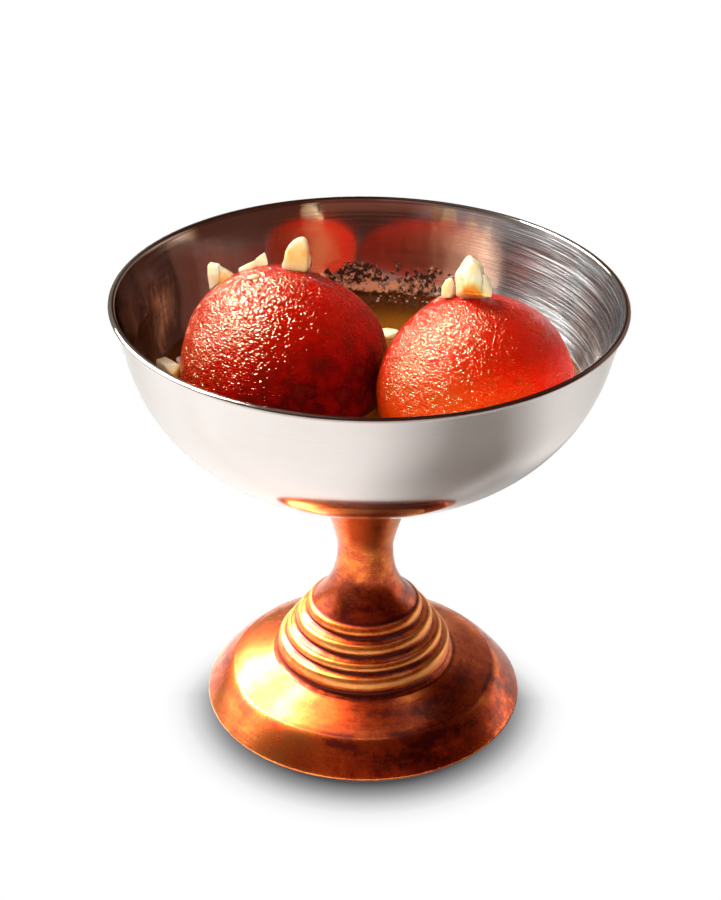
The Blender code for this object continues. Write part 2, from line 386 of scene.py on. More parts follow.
def stored_values(mesh: bpy.types.Mesh, name: str, values: Array) -> None:
    """Stores a number for each vertex, under a name that a material can read.

    Args:
        mesh: the mesh.
        name: the name.
        values: numbers in the order of the vertices, or on the grid that closed_bodies was given,
            shape (bodies, rows, columns) or (rows, columns).
    """
    if values.ndim == 2:
        values = values[None]
    if values.ndim == 3:
        values = in_vertex_order(values)
    attribute = mesh.attributes.new(name, "FLOAT", "POINT")
    attribute.data.foreach_set("value", values.astype(np.float32))


# ---------------------------------------------------------------------------------------------
# Finishes
# ---------------------------------------------------------------------------------------------

Socket = bpy.types.NodeSocket


class Ray(Enum):
    """Kinds of ray that a finish or the room can treat on their own."""

    CAMERA = "Is Camera Ray"
    SHADOW = "Is Shadow Ray"


class Palette:
    """The node tree of a new material or world, with a method for each kind of step."""

    def __init__(self, name: str, world: bool = False) -> None:
        """Starts a material with one Principled shader, or a world with one background."""
        self.owner = bpy.data.worlds.new(name) if world else bpy.data.materials.new(name)
        self.owner.use_nodes = True
        self.tree = self.owner.node_tree
        self.shader = self.tree.nodes["Background" if world else "Principled BSDF"]
        self.output = self.tree.nodes["World Output" if world else "Material Output"]

    def node(self, kind: str, **settings: object) -> bpy.types.Node:
        """Adds a node and sets its properties."""
        made = self.tree.nodes.new(kind)
        for key, value in settings.items():
            setattr(made, key, value)
        return made

    def feed(self, socket: Socket, value: object) -> None:
        """Links a socket into an input, or sets the input's own value; a colour is made opaque."""
        if isinstance(value, bpy.types.NodeSocket):
            self.tree.links.new(value, socket)
        else:
            socket.default_value = (*value, 1.0) if socket.type == "RGBA" else value

    def fed(self, node: bpy.types.Node, *values: object, **named: object) -> Socket:
        """Feeds a node's inputs by place or by name, an underscore in a name standing for a space.

        Returns:
            The node's first output.
        """
        for socket, value in zip(node.inputs, values):
            self.feed(socket, value)
        for name, value in named.items():
            self.feed(node.inputs[name.replace("_", " ")], value)
        return node.outputs[0]

    def surface(self, **inputs: object) -> None:
        """Sets or links the shader's inputs."""
        self.fed(self.shader, **inputs)

    def math(self, operation: str, first: object, second: object = 0.0, clamp: bool = False) -> Socket:
        """A number worked out from one or two others."""
        return self.fed(self.node("ShaderNodeMath", operation=operation, use_clamp=clamp), first, second)

    def plus(self, total: object, *others: object) -> Socket:
        """A sum."""
        for other in others:
            total = self.math("ADD", total, other)
        return total

    def held(self, first: object, second: object) -> Socket:
        """A sum of two, held to 0..1."""
        return self.math("ADD", first, second, clamp=True)

    def times(self, product: object, *others: object) -> Socket:
        """A product."""
        for other in others:
            product = self.math("MULTIPLY", product, other)
        return product

    def position(self) -> Socket:
        """The point on the piece, in metres."""
        return self.node("ShaderNodeTexCoord").outputs["Object"]

    def stored(self, name: str) -> Socket:
        """The number stored on the piece under a name."""
        return self.node("ShaderNodeAttribute", attribute_name=name).outputs["Fac"]

    def parts(self, vector: Socket) -> tuple[Socket, ...]:
        """The three numbers of a vector."""
        made = self.node("ShaderNodeSeparateXYZ")
        self.fed(made, vector)
        return tuple(made.outputs)

    def vector(self, x: object, y: object, z: object) -> Socket:
        """A vector of three numbers."""
        return self.fed(self.node("ShaderNodeCombineXYZ"), x, y, z)

    def mapped(
        self, vector: Socket, shift: Triple = (0.0, 0.0, 0.0), scale: Triple = (1.0, 1.0, 1.0)
    ) -> Socket:
        """A vector times a scale, then shifted."""
        return self.fed(self.node("ShaderNodeMapping"), Vector=vector, Location=shift, Scale=scale)

    def noise(
        self, vector: Socket, scale: float, detail: float = 3.0, rough: float = 0.5, bend: float = 0.0
    ) -> Socket:
        """A cloudy pattern from 0 to 1."""
        made = self.node("ShaderNodeTexNoise")
        return self.fed(made, Vector=vector, Scale=scale, Detail=detail, Roughness=rough, Distortion=bend)

    def lines(self, turns: float, rise: float, detail: float, bend: float = 0.0) -> Socket:
        """A noise drawn out round the axis into lines that join up.

        Args:
            turns: radius in cells of the circle that a whole turn goes round.
            rise: cells for each metre along the profile.
            detail: how many finer noises are added.
            bend: how far the pattern is distorted.

        Returns:
            A pattern from 0 to 1.
        """
        share, along, _ = self.parts(self.node("ShaderNodeUVMap", uv_map="around").outputs[0])
        angle = self.times(share, math.tau)
        across = self.times(self.math("COSINE", angle), turns)
        deep = self.times(self.math("SINE", angle), turns)
        return self.noise(self.vector(across, deep, self.times(along, rise)), 1.0, detail, 0.6, bend)

    def spread(
        self, value: Socket, low: float, high: float, start: float = 0.0, end: float = 1.0,
        how: str = "SMOOTHSTEP",
    ) -> Socket:
        """Maps low..high to start..end and holds the ends."""
        made = self.node("ShaderNodeMapRange", interpolation_type=how)
        return self.fed(made, Value=value, From_Min=low, From_Max=high, To_Min=start, To_Max=end)

    def ramp(self, value: Socket, *stops: tuple[float, Triple]) -> Socket:
        """A colour from a number, by stops."""
        made = self.node("ShaderNodeValToRGB")
        elements = made.color_ramp.elements
        while len(elements) < len(stops):
            elements.new(0.5)
        for element, (place, colour) in zip(elements, stops):
            element.position = place
            element.color = (*colour, 1.0)
        return self.fed(made, value)

    def mixed(self, share: object, first: object, second: object) -> Socket:
        """Two colours mixed by a share of the second. The node's colour sockets come after those
        for numbers and vectors, so they are taken by place."""
        made = self.node("ShaderNodeMix", data_type="RGBA")
        for place, value in ((0, share), (6, first), (7, second)):
            self.feed(made.inputs[place], value)
        return made.outputs[2]

    def relief(self, height: Socket, depth: float) -> Socket:
        """A normal bent by a height from 0 to 1 that is depth metres high."""
        return self.fed(self.node("ShaderNodeBump"), Strength=1.0, Distance=depth, Height=height)

    def switched(self, ray: Ray, other: Socket) -> None:
        """Shows another shader to one kind of ray, and the palette's own shader to all the rest."""
        shown = self.node("ShaderNodeLightPath").outputs[ray.value]
        choice = self.fed(self.node("ShaderNodeMixShader"), shown, self.shader.outputs[0], other)
        self.feed(self.output.inputs["Surface"], choice)


@dataclass(frozen=True)
class BrushedSteel:
    """Bright steel with fine lines brushed round its axis."""

    colour: Triple = (0.67, 0.64, 0.62)
    tarnished: Triple = (0.50, 0.46, 0.43)
    glint: Triple = (0.80, 0.79, 0.78)
    score_low: Triple = (0.28, 0.31, 0.34)
    score_high: Triple = (0.92, 0.97, 1.0)
    lip: Triple = (0.40, 0.35, 0.32)
    smooth: float = 0.045
    scratched: float = 0.13
    scoured: float = 1.18
    stretch: float = 0.95
    line_depth: float = 0.0014 * MM

    def material(self) -> bpy.types.Material:
        """Lines of two widths drive roughness, colour and relief; the gloss spreads across them.

        The stored value "scoured" says where the bowl has been scrubbed in short lines, and "lip"
        where its rolled edge has gone duller.
        """
        palette = Palette("brushed_steel")
        side = palette.stored("scoured")
        lip = palette.stored("lip")
        broad = palette.lines(1.3, 3500.0, 2.0)
        fine = palette.lines(2.2, 9000.0, 1.0)
        lines = palette.plus(palette.times(broad, 0.5), palette.times(fine, 0.5))
        short = palette.lines(5.0, 6000.0, 1.5, 0.4)
        tarnish = palette.noise(palette.position(), 45.0, 3.0, 0.6)
        scores = palette.mixed(palette.spread(short, 0.40, 0.62), self.score_low, self.score_high)
        tone = palette.mixed(palette.spread(tarnish, 0.35, 0.75, end=0.15), self.colour, self.tarnished)
        tone = palette.mixed(palette.spread(lines, 0.38, 0.62, end=0.15), tone, self.glint)
        tone = palette.mixed(palette.times(side, 0.8), tone, scores)
        tone = palette.mixed(palette.times(lip, 0.75), tone, self.lip)
        rough = palette.spread(lines, 0.36, 0.66, self.smooth, self.scratched)
        rough = palette.times(rough, palette.plus(palette.times(side, self.scoured), 1.0))
        tangent = palette.node("ShaderNodeTangent", direction_type="UV_MAP", uv_map="around")
        palette.surface(
            Base_Color=tone,
            Metallic=1.0,
            Roughness=palette.plus(rough, palette.times(lip, 0.03)),
            Anisotropic=self.stretch,
            Anisotropic_Rotation=0.25,
            Tangent=tangent.outputs[0],
            Normal=palette.relief(lines, self.line_depth),
        )
        return palette.owner


@dataclass(frozen=True)
class AgedCopper:
    """Turned copper whose raised parts are rubbed bright and whose grooves keep a dark patina."""

    polished: Triple = (0.96, 0.38, 0.080)
    bright: Triple = (0.90, 0.21, 0.022)
    worn: Triple = (0.58, 0.075, 0.007)
    dark: Triple = (0.15, 0.012, 0.003)

    def material(self) -> bpy.types.Material:
        """Clouds, blotches, specks and turning lines of patina, thicker where the stored value
        "grime" says, and duller where "satin" does. That value holds the patina of
        the hollows plus painted shade on the front right and painted highlights at the waist and on
        the rings' right."""
        palette = Palette("aged_copper")
        place = palette.position()
        cloud = palette.noise(palette.mapped(place, scale=(1.0, 1.0, 1.7)), 90.0, 5.0, 0.62, 0.3)
        blotch = palette.noise(place, 420.0, 3.0, 0.6, 0.4)
        speck = palette.noise(place, 1600.0, 4.0, 0.7)
        turned = palette.lines(1.2, 2600.0, 2.0)
        shares = ((cloud, 0.46), (blotch, 0.30), (speck, 0.20), (turned, 0.14))
        # cover: patina plus painted shade and painted highlights, from the noises and the stored value
        cover = palette.plus(*(palette.times(*pair) for pair in shares), palette.stored("grime"))
        tone = palette.ramp(
            cover, (0.41, self.polished), (0.51, self.bright), (0.62, self.worn), (0.76, self.dark)
        )
        rough = palette.spread(cover, 0.44, 0.76, 0.20, 0.34)
        palette.surface(
            Base_Color=tone,
            Metallic=1.0,
            Roughness=palette.plus(rough, palette.stored("satin")),
            Normal=palette.relief(palette.plus(cloud, speck), 0.010 * MM),
            Coat_Weight=0.65,
            Coat_Roughness=0.20,
        )
        return palette.owner


@dataclass(frozen=True)
class FriedSkin:
    """Wet, red-brown fried dough: its colour runs from one side of the ball to the other, with painted
    shade and a painted side tint.
    """

    name: str
    # bright is the dough's red; deep is painted shade; edge is a painted side tint: orange light on the
    # left sweet, dark brown shade on the right one
    bright: Triple
    deep: Triple
    edge: Triple
    brown: Triple
    shade_way: Triple
    side_light_and_shade_way: Triple
    grain: float
    brown_way: Triple = (0.0, 1.0, -0.2)
    dry_way: Triple = (0.75, 0.62, 0.10)
    gloss: float = 0.055
    dryness: float = 0.42
    relief: float = 1.1

    def material(self) -> bpy.types.Material:
        """Mottled red, with fine wrinkles that break the shine into specks.

        The stored values "deep", "edge" and "brown" say where shade is painted on the side away
        from the lamp, where a side tint is painted (orange light on the left sweet's lit left, dark
        brown shade on the right sweet's lower right), and where the dough has been fried browner;
        "dry" says where the syrup has run off it.
        """
        palette = Palette(self.name)
        place = palette.position()
        drawn = palette.mapped(place, scale=(1.0, 1.0, 1.5))
        mottle = palette.spread(palette.noise(place, 260.0, 4.0, 0.6), 0.32, 0.70, -0.22, 0.22)
        folds = palette.noise(drawn, self.grain * 0.45, 1.0, 0.4, 0.6)
        folds = palette.math("ABSOLUTE", palette.times(palette.math("SUBTRACT", folds, 0.5), 2.0))
        grain = palette.noise(drawn, self.grain, 0.6, 0.5, 0.3)
        fine = palette.plus(palette.times(grain, 0.50), palette.times(folds, -0.60))
        # Painted shade on the side away from the lamp, and the painted side tint, broken up by the mottle
        deep = palette.held(palette.stored("deep"), mottle)
        edge = palette.held(palette.stored("edge"), palette.times(mottle, 0.5))
        tone = palette.mixed(deep, self.bright, self.deep)
        tone = palette.mixed(palette.stored("brown"), tone, self.brown)
        palette.surface(
            Base_Color=palette.mixed(edge, tone, self.edge),
            Roughness=palette.plus(palette.times(palette.stored("dry"), self.dryness), self.gloss),
            IOR=1.32,
            Specular_Tint=(1.0, 0.40, 0.17),
            Normal=palette.relief(fine, self.relief / self.grain),
        )
        return palette.owner


@dataclass(frozen=True)
class AmberSyrup:
    """Sugar syrup: clear and a little cloudy; its colour is painted, dark near the wall as painted shade
    and lit amber away from it.
    """

    # deep is painted shade near the wall; lit is painted light away from it
    deep: Triple = (0.20, 0.055, 0.008)
    lit: Triple = (0.46, 0.15, 0.010)
    clear: float = 0.55
    fallen: Triple = (0.70, 0.40, 0.10)

    def material(self) -> bpy.types.Material:
        """Painted shade that pales to a painted lit amber where the stored value "open" says, away from the
        wall; light also falls through, tinted.
        """
        palette = Palette("amber_syrup")
        swirl = palette.noise(palette.position(), 120.0, 2.0, 0.5)
        share = palette.held(palette.stored("open"), palette.spread(swirl, 0.3, 0.7, -0.15, 0.15))
        palette.surface(
            Base_Color=palette.mixed(share, self.deep, self.lit),
            Roughness=0.03,
            IOR=1.42,
            Transmission_Weight=self.clear,
            Normal=palette.relief(palette.noise(palette.position(), 900.0, 2.0, 0.5), 0.015 * MM),
        )
        palette.switched(Ray.SHADOW, palette.fed(palette.node("ShaderNodeBsdfTransparent"), self.fallen))
        return palette.owner


@dataclass(frozen=True)
class DriedSyrup:
    """Dark, crusted syrup with copper-pink specks painted in, a painted reflection of the lit sweets."""

    dark: Triple = (0.045, 0.014, 0.012)
    # bright is a painted highlight colour
    bright: Triple = (1.0, 0.46, 0.26)

    def material(self) -> bpy.types.Material:
        """Nearly black, with brighter crumbs by noise, which are painted highlights, and a coarse glossy
        relief; the stored value "shine" says where more of them show, a painted reflection band."""
        palette = Palette("dried_syrup")
        crumb = palette.noise(palette.position(), 900.0, 3.0, 0.65)
        lit = palette.plus(crumb, palette.times(palette.stored("shine"), 0.32))
        palette.surface(
            Base_Color=palette.mixed(palette.spread(lit, 0.46, 0.70), self.dark, self.bright),
            Roughness=0.16,
            Normal=palette.relief(crumb, 0.5 * MM),
        )
        return palette.owner


@dataclass(frozen=True)
class NutFlesh:
    """Translucent nut: cream, golden in patches, and golden to orange where syrup has soaked in, with a
    painted glow of light through the nut and off the red sweets.
    """

    cream: Triple = (1.0, 0.91, 0.60)
    golden: Triple = (1.0, 0.68, 0.20)
    # soaked is partly syrup soak and partly painted warm light
    soaked: Triple = (1.0, 0.30, 0.015)

    def material(self) -> bpy.types.Material:
        """Patches by noise; the stored value "soaked" turns them golden and then orange: syrup soak and
        painted glow.
        """
        palette = Palette("nut_flesh")
        place = palette.position()
        patch = palette.spread(palette.noise(place, 330.0, 2.0, 0.5), 0.42, 0.68, end=0.25)
        share = palette.held(patch, palette.stored("soaked"))
        palette.surface(
            Base_Color=palette.ramp(share, (0.0, self.cream), (0.5, self.golden), (1.0, self.soaked)),
            Roughness=0.38,
            Subsurface_Weight=0.5,
            Subsurface_Scale=0.0018,
            Subsurface_Radius=(1.0, 0.75, 0.40),
            Normal=palette.relief(palette.noise(place, 1900.0, 3.0, 0.6), 0.05 * MM),
        )
        return palette.owner


@dataclass(frozen=True)
class Froth:
    """Pale bubbles of whipped-up syrup."""

    colour: Triple = (0.95, 0.88, 0.80)
    amber: Triple = (0.85, 0.55, 0.35)

    def material(self) -> bpy.types.Material:
        """Glossy off-white, a little clear."""
        palette = Palette("froth")
        tint = palette.spread(palette.noise(palette.position(), 900.0, 1.0, 0.5), 0.3, 0.7, end=0.6)
        palette.surface(
            Base_Color=palette.mixed(tint, self.colour, self.amber),
            Roughness=0.12,
            Transmission_Weight=0.12,
        )
        return palette.owner


# ---------------------------------------------------------------------------------------------
# Bowl and foot
# ---------------------------------------------------------------------------------------------


@dataclass
class SteelBowl:
    """Thin spun bowl: flat floor, one arc, flared wall and a flattened rolled lip.

    The flares are heights of the inner wall in millimetres, each with its angle from upright.
    """

    wall: float = 0.8 * MM
    floor_radius: float = 13.5 * MM
    outer_arc: float = 36.5 * MM
    lip_half_width: float = 0.7 * MM
    lip_half_height: float = 0.38 * MM
    flares: tuple[Pair, ...] = (
        (76.0, 29.9), (78.0, 25.0), (80.0, 20.3), (82.0, 17.0), (84.0, 15.2), (87.0, 14.4), (90.0, 15.2),
        (92.0, 16.4), (94.5, 18.0),
    )
    skin_rows: int = 60
    scoured_from: float = 10.0 * MM
    scoured_over: float = 26.0 * MM
    outer_rows: int = 48
    lip_rows: int = 20
    floor_rows: int = 6
    segments: int = 288
    rim_radius: float = field(init=False)
    rim_height: float = field(init=False)
    underside: float = field(init=False)

    def __post_init__(self) -> None:
        """Takes the bowl's reach from its CAD node."""
        low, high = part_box("bowl")
        self.rim_radius = high.x
        self.rim_height = high.z
        self.underside = low.z

    @property
    def lip_centre(self) -> Pair:
        """Middle of the lip's section."""
        return self.rim_radius - self.lip_half_width, self.rim_height - self.lip_half_height

    @property
    def arc_centre(self) -> Pair:
        """Centre of the arc between floor and wall."""
        return self.floor_radius, self.underside + self.outer_arc

    @property
    def flare(self) -> float:
        """Angle of the flared wall from upright, where it leaves the arc at a tangent."""
        across = self.lip_centre[0] - self.arc_centre[0]
        up = self.lip_centre[1] - self.arc_centre[1]
        return math.acos(self.outer_arc / math.hypot(across, up)) - math.atan2(up, across)

    def outside(self) -> Array:
        """Floor, arc and flared wall of the outer skin, from the axis up to the lip."""
        flare = math.degrees(self.flare)
        curve = arc(self.arc_centre, self.outer_arc, -90.0, -flare, self.outer_rows)
        floor = straight((0.0, curve[0, 1]), curve[0], self.floor_rows)
        length = self.lip_centre[1] - curve[-1, 1]
        top = curve[-1] + np.array([math.tan(self.flare), 1.0]) * (length - self.lip_half_height * 0.6)
        wall = straight(curve[-1], top, self.outer_rows // 2)
        return np.concatenate([[[0.0, curve[0, 1]]], floor, curve, wall])

    def inside(self) -> Array:
        """Floor, arc and bell-shaped wall of the inner skin, from the axis up to the lip.

        Above the arc the radius is the sum, over the height, of the tangent of the flare, which is
        read from a smooth curve through the stated heights and angles.
        """
        start_height = self.flares[0][0] * MM
        radius = self.outer_arc - self.wall
        start = -math.degrees(math.asin((self.arc_centre[1] - start_height) / radius))
        curve = arc(self.arc_centre, radius, -90.0, start, self.skin_rows)
        floor = straight((0.0, curve[0, 1]), curve[0], self.floor_rows)
        knots = flowing(np.array(self.flares), 12)
        heights = np.linspace(self.flares[0][0], self.flares[-1][0], self.skin_rows)
        slope = np.tan(np.radians(np.interp(heights, knots[:, 0], knots[:, 1])))
        rise = np.concatenate([[0.0], np.cumsum((slope[1:] + slope[:-1]) / 2.0 * np.diff(heights))])
        wall = np.stack([curve[-1, 0] + rise * MM, heights * MM], axis=1)[1:]
        return np.concatenate([[[0.0, curve[0, 1]]], floor, curve, wall])

    def inner_radius(self, height: Array) -> Array:
        """Radius of the inner skin at heights above its floor."""
        path = self.inside()[self.floor_rows + 2:]
        return np.interp(height, path[:, 1], path[:, 0])

    def profile(self) -> Array:
        """Inner skin from the axis out, over the lip, and back to the axis under the bowl."""
        circle = arc((0.0, 0.0), 1.0, 170.0, -110.0, self.lip_rows)
        lip = np.array(self.lip_centre) + circle * (self.lip_half_width, self.lip_half_height)
        return np.concatenate([self.inside(), lip, self.outside()[::-1]])

    def build(self) -> None:
        """Makes and dresses the bowl; its inner wall is scoured on the right."""
        profile = self.profile()
        grid = spun(profile, self.segments)
        mesh = closed_bodies("steel_bowl", grid, run_length(profile))
        row = np.arange(len(profile))[:, None]
        lip_start = len(self.inside())
        right = eased((grid[..., 0] - self.scoured_from) / self.scoured_over)
        stored_values(mesh, "scoured", (row < lip_start) * right)
        rolled = (row >= lip_start - 1) & (row <= lip_start + self.lip_rows)
        stored_values(mesh, "lip", rolled * np.ones(grid.shape[:2]))
        placed(mesh, BrushedSteel().material(), ["bowl"])

    def pressed_inside(self, points: Array, clearance: float) -> Array:
        """Keeps points inside the inner skin: what lies beyond it is drawn back along the radius of
        the arc, and never goes below the floor."""
        radius = self.outer_arc - self.wall - clearance
        centre = self.arc_centre
        flat = np.hypot(points[:, 0], points[:, 1])
        across = flat - centre[0]
        down = centre[1] - points[:, 2]
        distance = np.hypot(across, down)
        outside = (distance > radius) & (across > 0.0) & (down > 0.0)
        scale = np.where(outside, radius / np.maximum(distance, MM), 1.0)
        ratio = np.where(outside, centre[0] + across * scale, flat) / np.maximum(flat, MM)
        height = np.where(outside, centre[1] - down * scale, points[:, 2])
        height = np.maximum(height, centre[1] - radius)
        limit = self.inner_radius(height) - clearance
        ratio = np.minimum(ratio, limit / np.maximum(flat, MM))
        return np.stack([points[:, 0] * ratio, points[:, 1] * ratio, height], axis=1)


@dataclass
class CopperFoot:
    """Turned stem, four stepped rings, low dome and skirt.

    The ring edges are radii and heights in millimetres. The ring section is one ring's outline, as
    shares of the way out and down to the next edge. What faces says is an angle from +X in degrees.
    """

    waist_radius: float = 6.0 * MM
    waist_height: float = 37.3 * MM
    stem_top_radius: float = 12.4 * MM
    spread_below: float = 2.7
    spread_above: float = 1.25
    ring_edges: tuple[Pair, ...] = (
        (11.33, 23.14), (13.71, 20.0), (15.97, 16.7), (17.96, 14.15), (19.71, 9.85),
    )
    ring_section: tuple[Pair, ...] = (
        (0.0, 0.0), (0.20, 0.05), (0.40, 0.20), (0.50, 0.42), (0.47, 0.60), (0.41, 0.71), (0.46, 0.81),
        (0.70, 0.91), (1.0, 1.0),
    )
    shoulder: Pair = (28.2 * MM, 6.6 * MM)
    dome_power: float = 1.35
    dome_sag: float = 0.6 * MM
    skirt_power: float = 1.25
    lip_height: float = 0.5 * MM
    edge_ease: float = 0.18 * MM
    # Where painted shade lies (foot of the stem, below the shoulder, front of dome and skirt) and where
    # painted highlights lie (waist, right of the rings)
    stem_shade_height: float = 3.0 * MM
    stem_shade_reach: float = 4.0 * MM
    shoulder_shade_drop: float = 1.3 * MM
    shoulder_shade_reach: float = 1.2 * MM
    waist_reach: float = 8.0 * MM
    stem_shade_faces: float = -65.0
    front_shade_faces: float = -50.0
    ring_highlight_faces: float = 5.0
    mark_size: float = 9.0 * MM
    satin: float = 0.16
    segments: int = 288
    foot_radius: float = field(init=False)
    top: float = field(init=False)

    def __post_init__(self) -> None:
        """Takes the foot's reach from its CAD node."""
        _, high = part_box("copper_foot")
        self.foot_radius = high.x
        self.top = high.z

    def stem(self) -> Array:
        """Stem from its top to the first ring: from the waist it spreads as a power of the share of
        the height, fast below and slowly above."""
        base_radius, base_height = (value * MM for value in self.ring_edges[0])
        upper = np.linspace(self.top, self.waist_height, 30)
        lower = np.linspace(self.waist_height, base_height, 40)[1:]
        above = (upper - self.waist_height) / (self.top - self.waist_height)
        below = (self.waist_height - lower) / (self.waist_height - base_height)
        radii = np.concatenate([
            self.waist_radius + (self.stem_top_radius - self.waist_radius) * above**self.spread_above,
            self.waist_radius + (base_radius - self.waist_radius) * below**self.spread_below,
        ])
        return np.stack([radii, np.concatenate([upper, lower])], axis=1)

    def rings(self) -> list[Array]:
        """Each ring bulges below its edge, is undercut, and runs out to the next edge."""
        section = flowing(np.array(self.ring_section), 4)
        made = []
        for (start_r, start_z), (end_r, end_z) in zip(self.ring_edges[:-1], self.ring_edges[1:]):
            radii = start_r + (end_r - start_r) * section[1:, 0]
            heights = start_z - (start_z - end_z) * section[1:, 1]
            made.append(np.stack([radii, heights], axis=1) * MM)
        return made

    def dome(self) -> Array:
        """Low dome from the last ring: its height falls as a power of the way out, less a sag."""
        start_r, start_z = (value * MM for value in self.ring_edges[-1])
        end_r, end_z = self.shoulder
        share = np.linspace(0.0, 1.0, 26)[1:]
        radii = start_r + (end_r - start_r) * share
        sag = self.dome_sag * np.sin(math.pi * share) * (1.0 - share)
        return np.stack([radii, start_z + (end_z - start_z) * share**self.dome_power - sag], axis=1)

    def skirt(self) -> Array:
        """Skirt from the shoulder down to the lip on the table."""
        end_r, end_z = self.shoulder
        share = np.linspace(0.0, 1.0, 22)[1:]
        heights = end_z * (1.0 - share**self.skirt_power) + self.lip_height * share
        return np.stack([end_r + (self.foot_radius - end_r) * share, heights], axis=1)

    def profile(self) -> tuple[Array, Array]:
        """The whole profile and how much patina each of its points holds.

        The corners that are eased are the stem's top edge, where each run meets the next, and both
        edges of the lip on the table.
        """
        runs = [np.array([[0.0, self.top]]), self.stem()]
        runs += self.rings()
        runs += [self.dome(), self.skirt()]
        runs.append(np.array([[self.foot_radius, 0.0], [self.foot_radius * 0.5, 0.0], [0.0, 0.0]]))
        path = np.concatenate(runs)
        ends = np.cumsum([len(run) for run in runs]) - 1
        corners = [1, *ends[1:-1], ends[-2] + 1]
        path = eased_corners(path, corners, self.edge_ease)
        return path, self.grime(path)

    def grime(self, path: Array) -> Array:
        """The patina of the hollows: it gathers where the profile is hollow and is rubbed off its
        edges: the bend of the path, smoothed over a few points, is positive in the one and negative
        on the other."""
        step = np.gradient(path, axis=0)
        heading = np.unwrap(np.arctan2(step[:, 1], step[:, 0]))
        bend = np.gradient(heading) / np.maximum(np.linalg.norm(step, axis=1), 1e-6)
        window = np.hanning(9)
        return np.convolve(np.clip(bend / 1500.0, -0.1, 0.35), window / window.sum(), mode="same")

    @property
    def ring_span(self) -> Pair:
        """Heights of the first ring's edge and of the last one's."""
        return self.ring_edges[0][1] * MM, self.ring_edges[-1][1] * MM

    def facing(self, grid: Array, angle: float) -> Array:
        """How much each point looks towards an angle in degrees from +X: the cosine between."""
        return np.cos(np.arctan2(grid[..., 1], grid[..., 0]) - math.radians(angle))

    def shade_highlight_and_patina(self, grid: Array) -> Array:
        """Extra cover, mostly painted light: painted shade round the bottom of the stem (partly
        patina), in a band just below the shoulder, and over the front right of the dome and skirt,
        the side away from the lamp, with a little all round the skirt. Painted highlights take cover
        away at the waist and on the right of the rings.

        Each is a bell or a step of the height, times a step of the facing, times a noise that is
        drawn out round the axis.
        """
        height = grid[..., 2]
        rings_top, rings_end = self.ring_span
        stretched = (grid * (1.0, 1.0, 3.0)).reshape(-1, 3)
        drawn = layered(stretched / self.mark_size, 3, 41).reshape(height.shape)
        # Painted shade round the foot of the stem, partly patina, heaviest on the front right, away from
        # the lamp
        stem = bell(height, rings_top + self.stem_shade_height, self.stem_shade_reach)
        stem = stem * (0.2 + 0.9 * eased(self.facing(grid, self.stem_shade_faces) / 1.2 + 0.4))
        # Painted shade in a band below the shoulder
        under = bell(height, self.shoulder[1] - self.shoulder_shade_drop, self.shoulder_shade_reach)
        under = under * np.clip(0.5 + 1.4 * drawn, 0.0, 1.3)
        # Painted highlight: less cover at the waist
        waist = bell(height, self.waist_height, self.waist_reach)
        # Painted highlight: less cover on the right side of the rings
        rings = eased((rings_top - height) / (0.8 * MM)) * eased((height - rings_end) / (0.5 * MM))
        rubbed = rings * eased(self.facing(grid, self.ring_highlight_faces) / 0.6 - 0.6) * (1.0 + 0.5 * drawn)
        # Painted shade over the front right of the dome and, thinly, all round the skirt
        dome = eased((rings_end - height) / (1.5 * MM))
        skirt = eased((self.shoulder[1] + 0.5 * MM - height) / (1.5 * MM))
        front = eased(self.facing(grid, self.front_shade_faces) / 0.9 - 0.05) * (1.0 + 0.8 * drawn)
        low = dome * (0.13 * front * (1.0 - 0.5 * skirt) + 0.03 * skirt)
        return 0.13 * stem * (1.0 + 0.6 * drawn) + 0.16 * under + low - 0.07 * waist - 0.20 * rubbed

    def build(self) -> None:
        """Makes and dresses the foot; its rings are rubbed to a satin."""
        path, grime = self.profile()
        grid = spun(path, self.segments)
        mesh = closed_bodies("copper_stem_and_foot", grid, run_length(path))
        # The stored cover is patina plus painted shade and painted highlights
        stored_values(mesh, "grime", grime[:, None] + self.shade_highlight_and_patina(grid))
        top, bottom = self.ring_span
        near = eased((top + 0.4 * MM - path[:, 1]) / (0.8 * MM)) * eased((path[:, 1] - bottom) / (0.5 * MM))
        near = near * (path[:, 0] < self.ring_edges[-1][0] * MM * 1.02)
        stored_values(mesh, "satin", np.broadcast_to(self.satin * near[:, None], grid.shape[:2]))
        placed(mesh, AgedCopper().material(), ["copper_foot"])


# ---------------------------------------------------------------------------------------------
# Food
# ---------------------------------------------------------------------------------------------


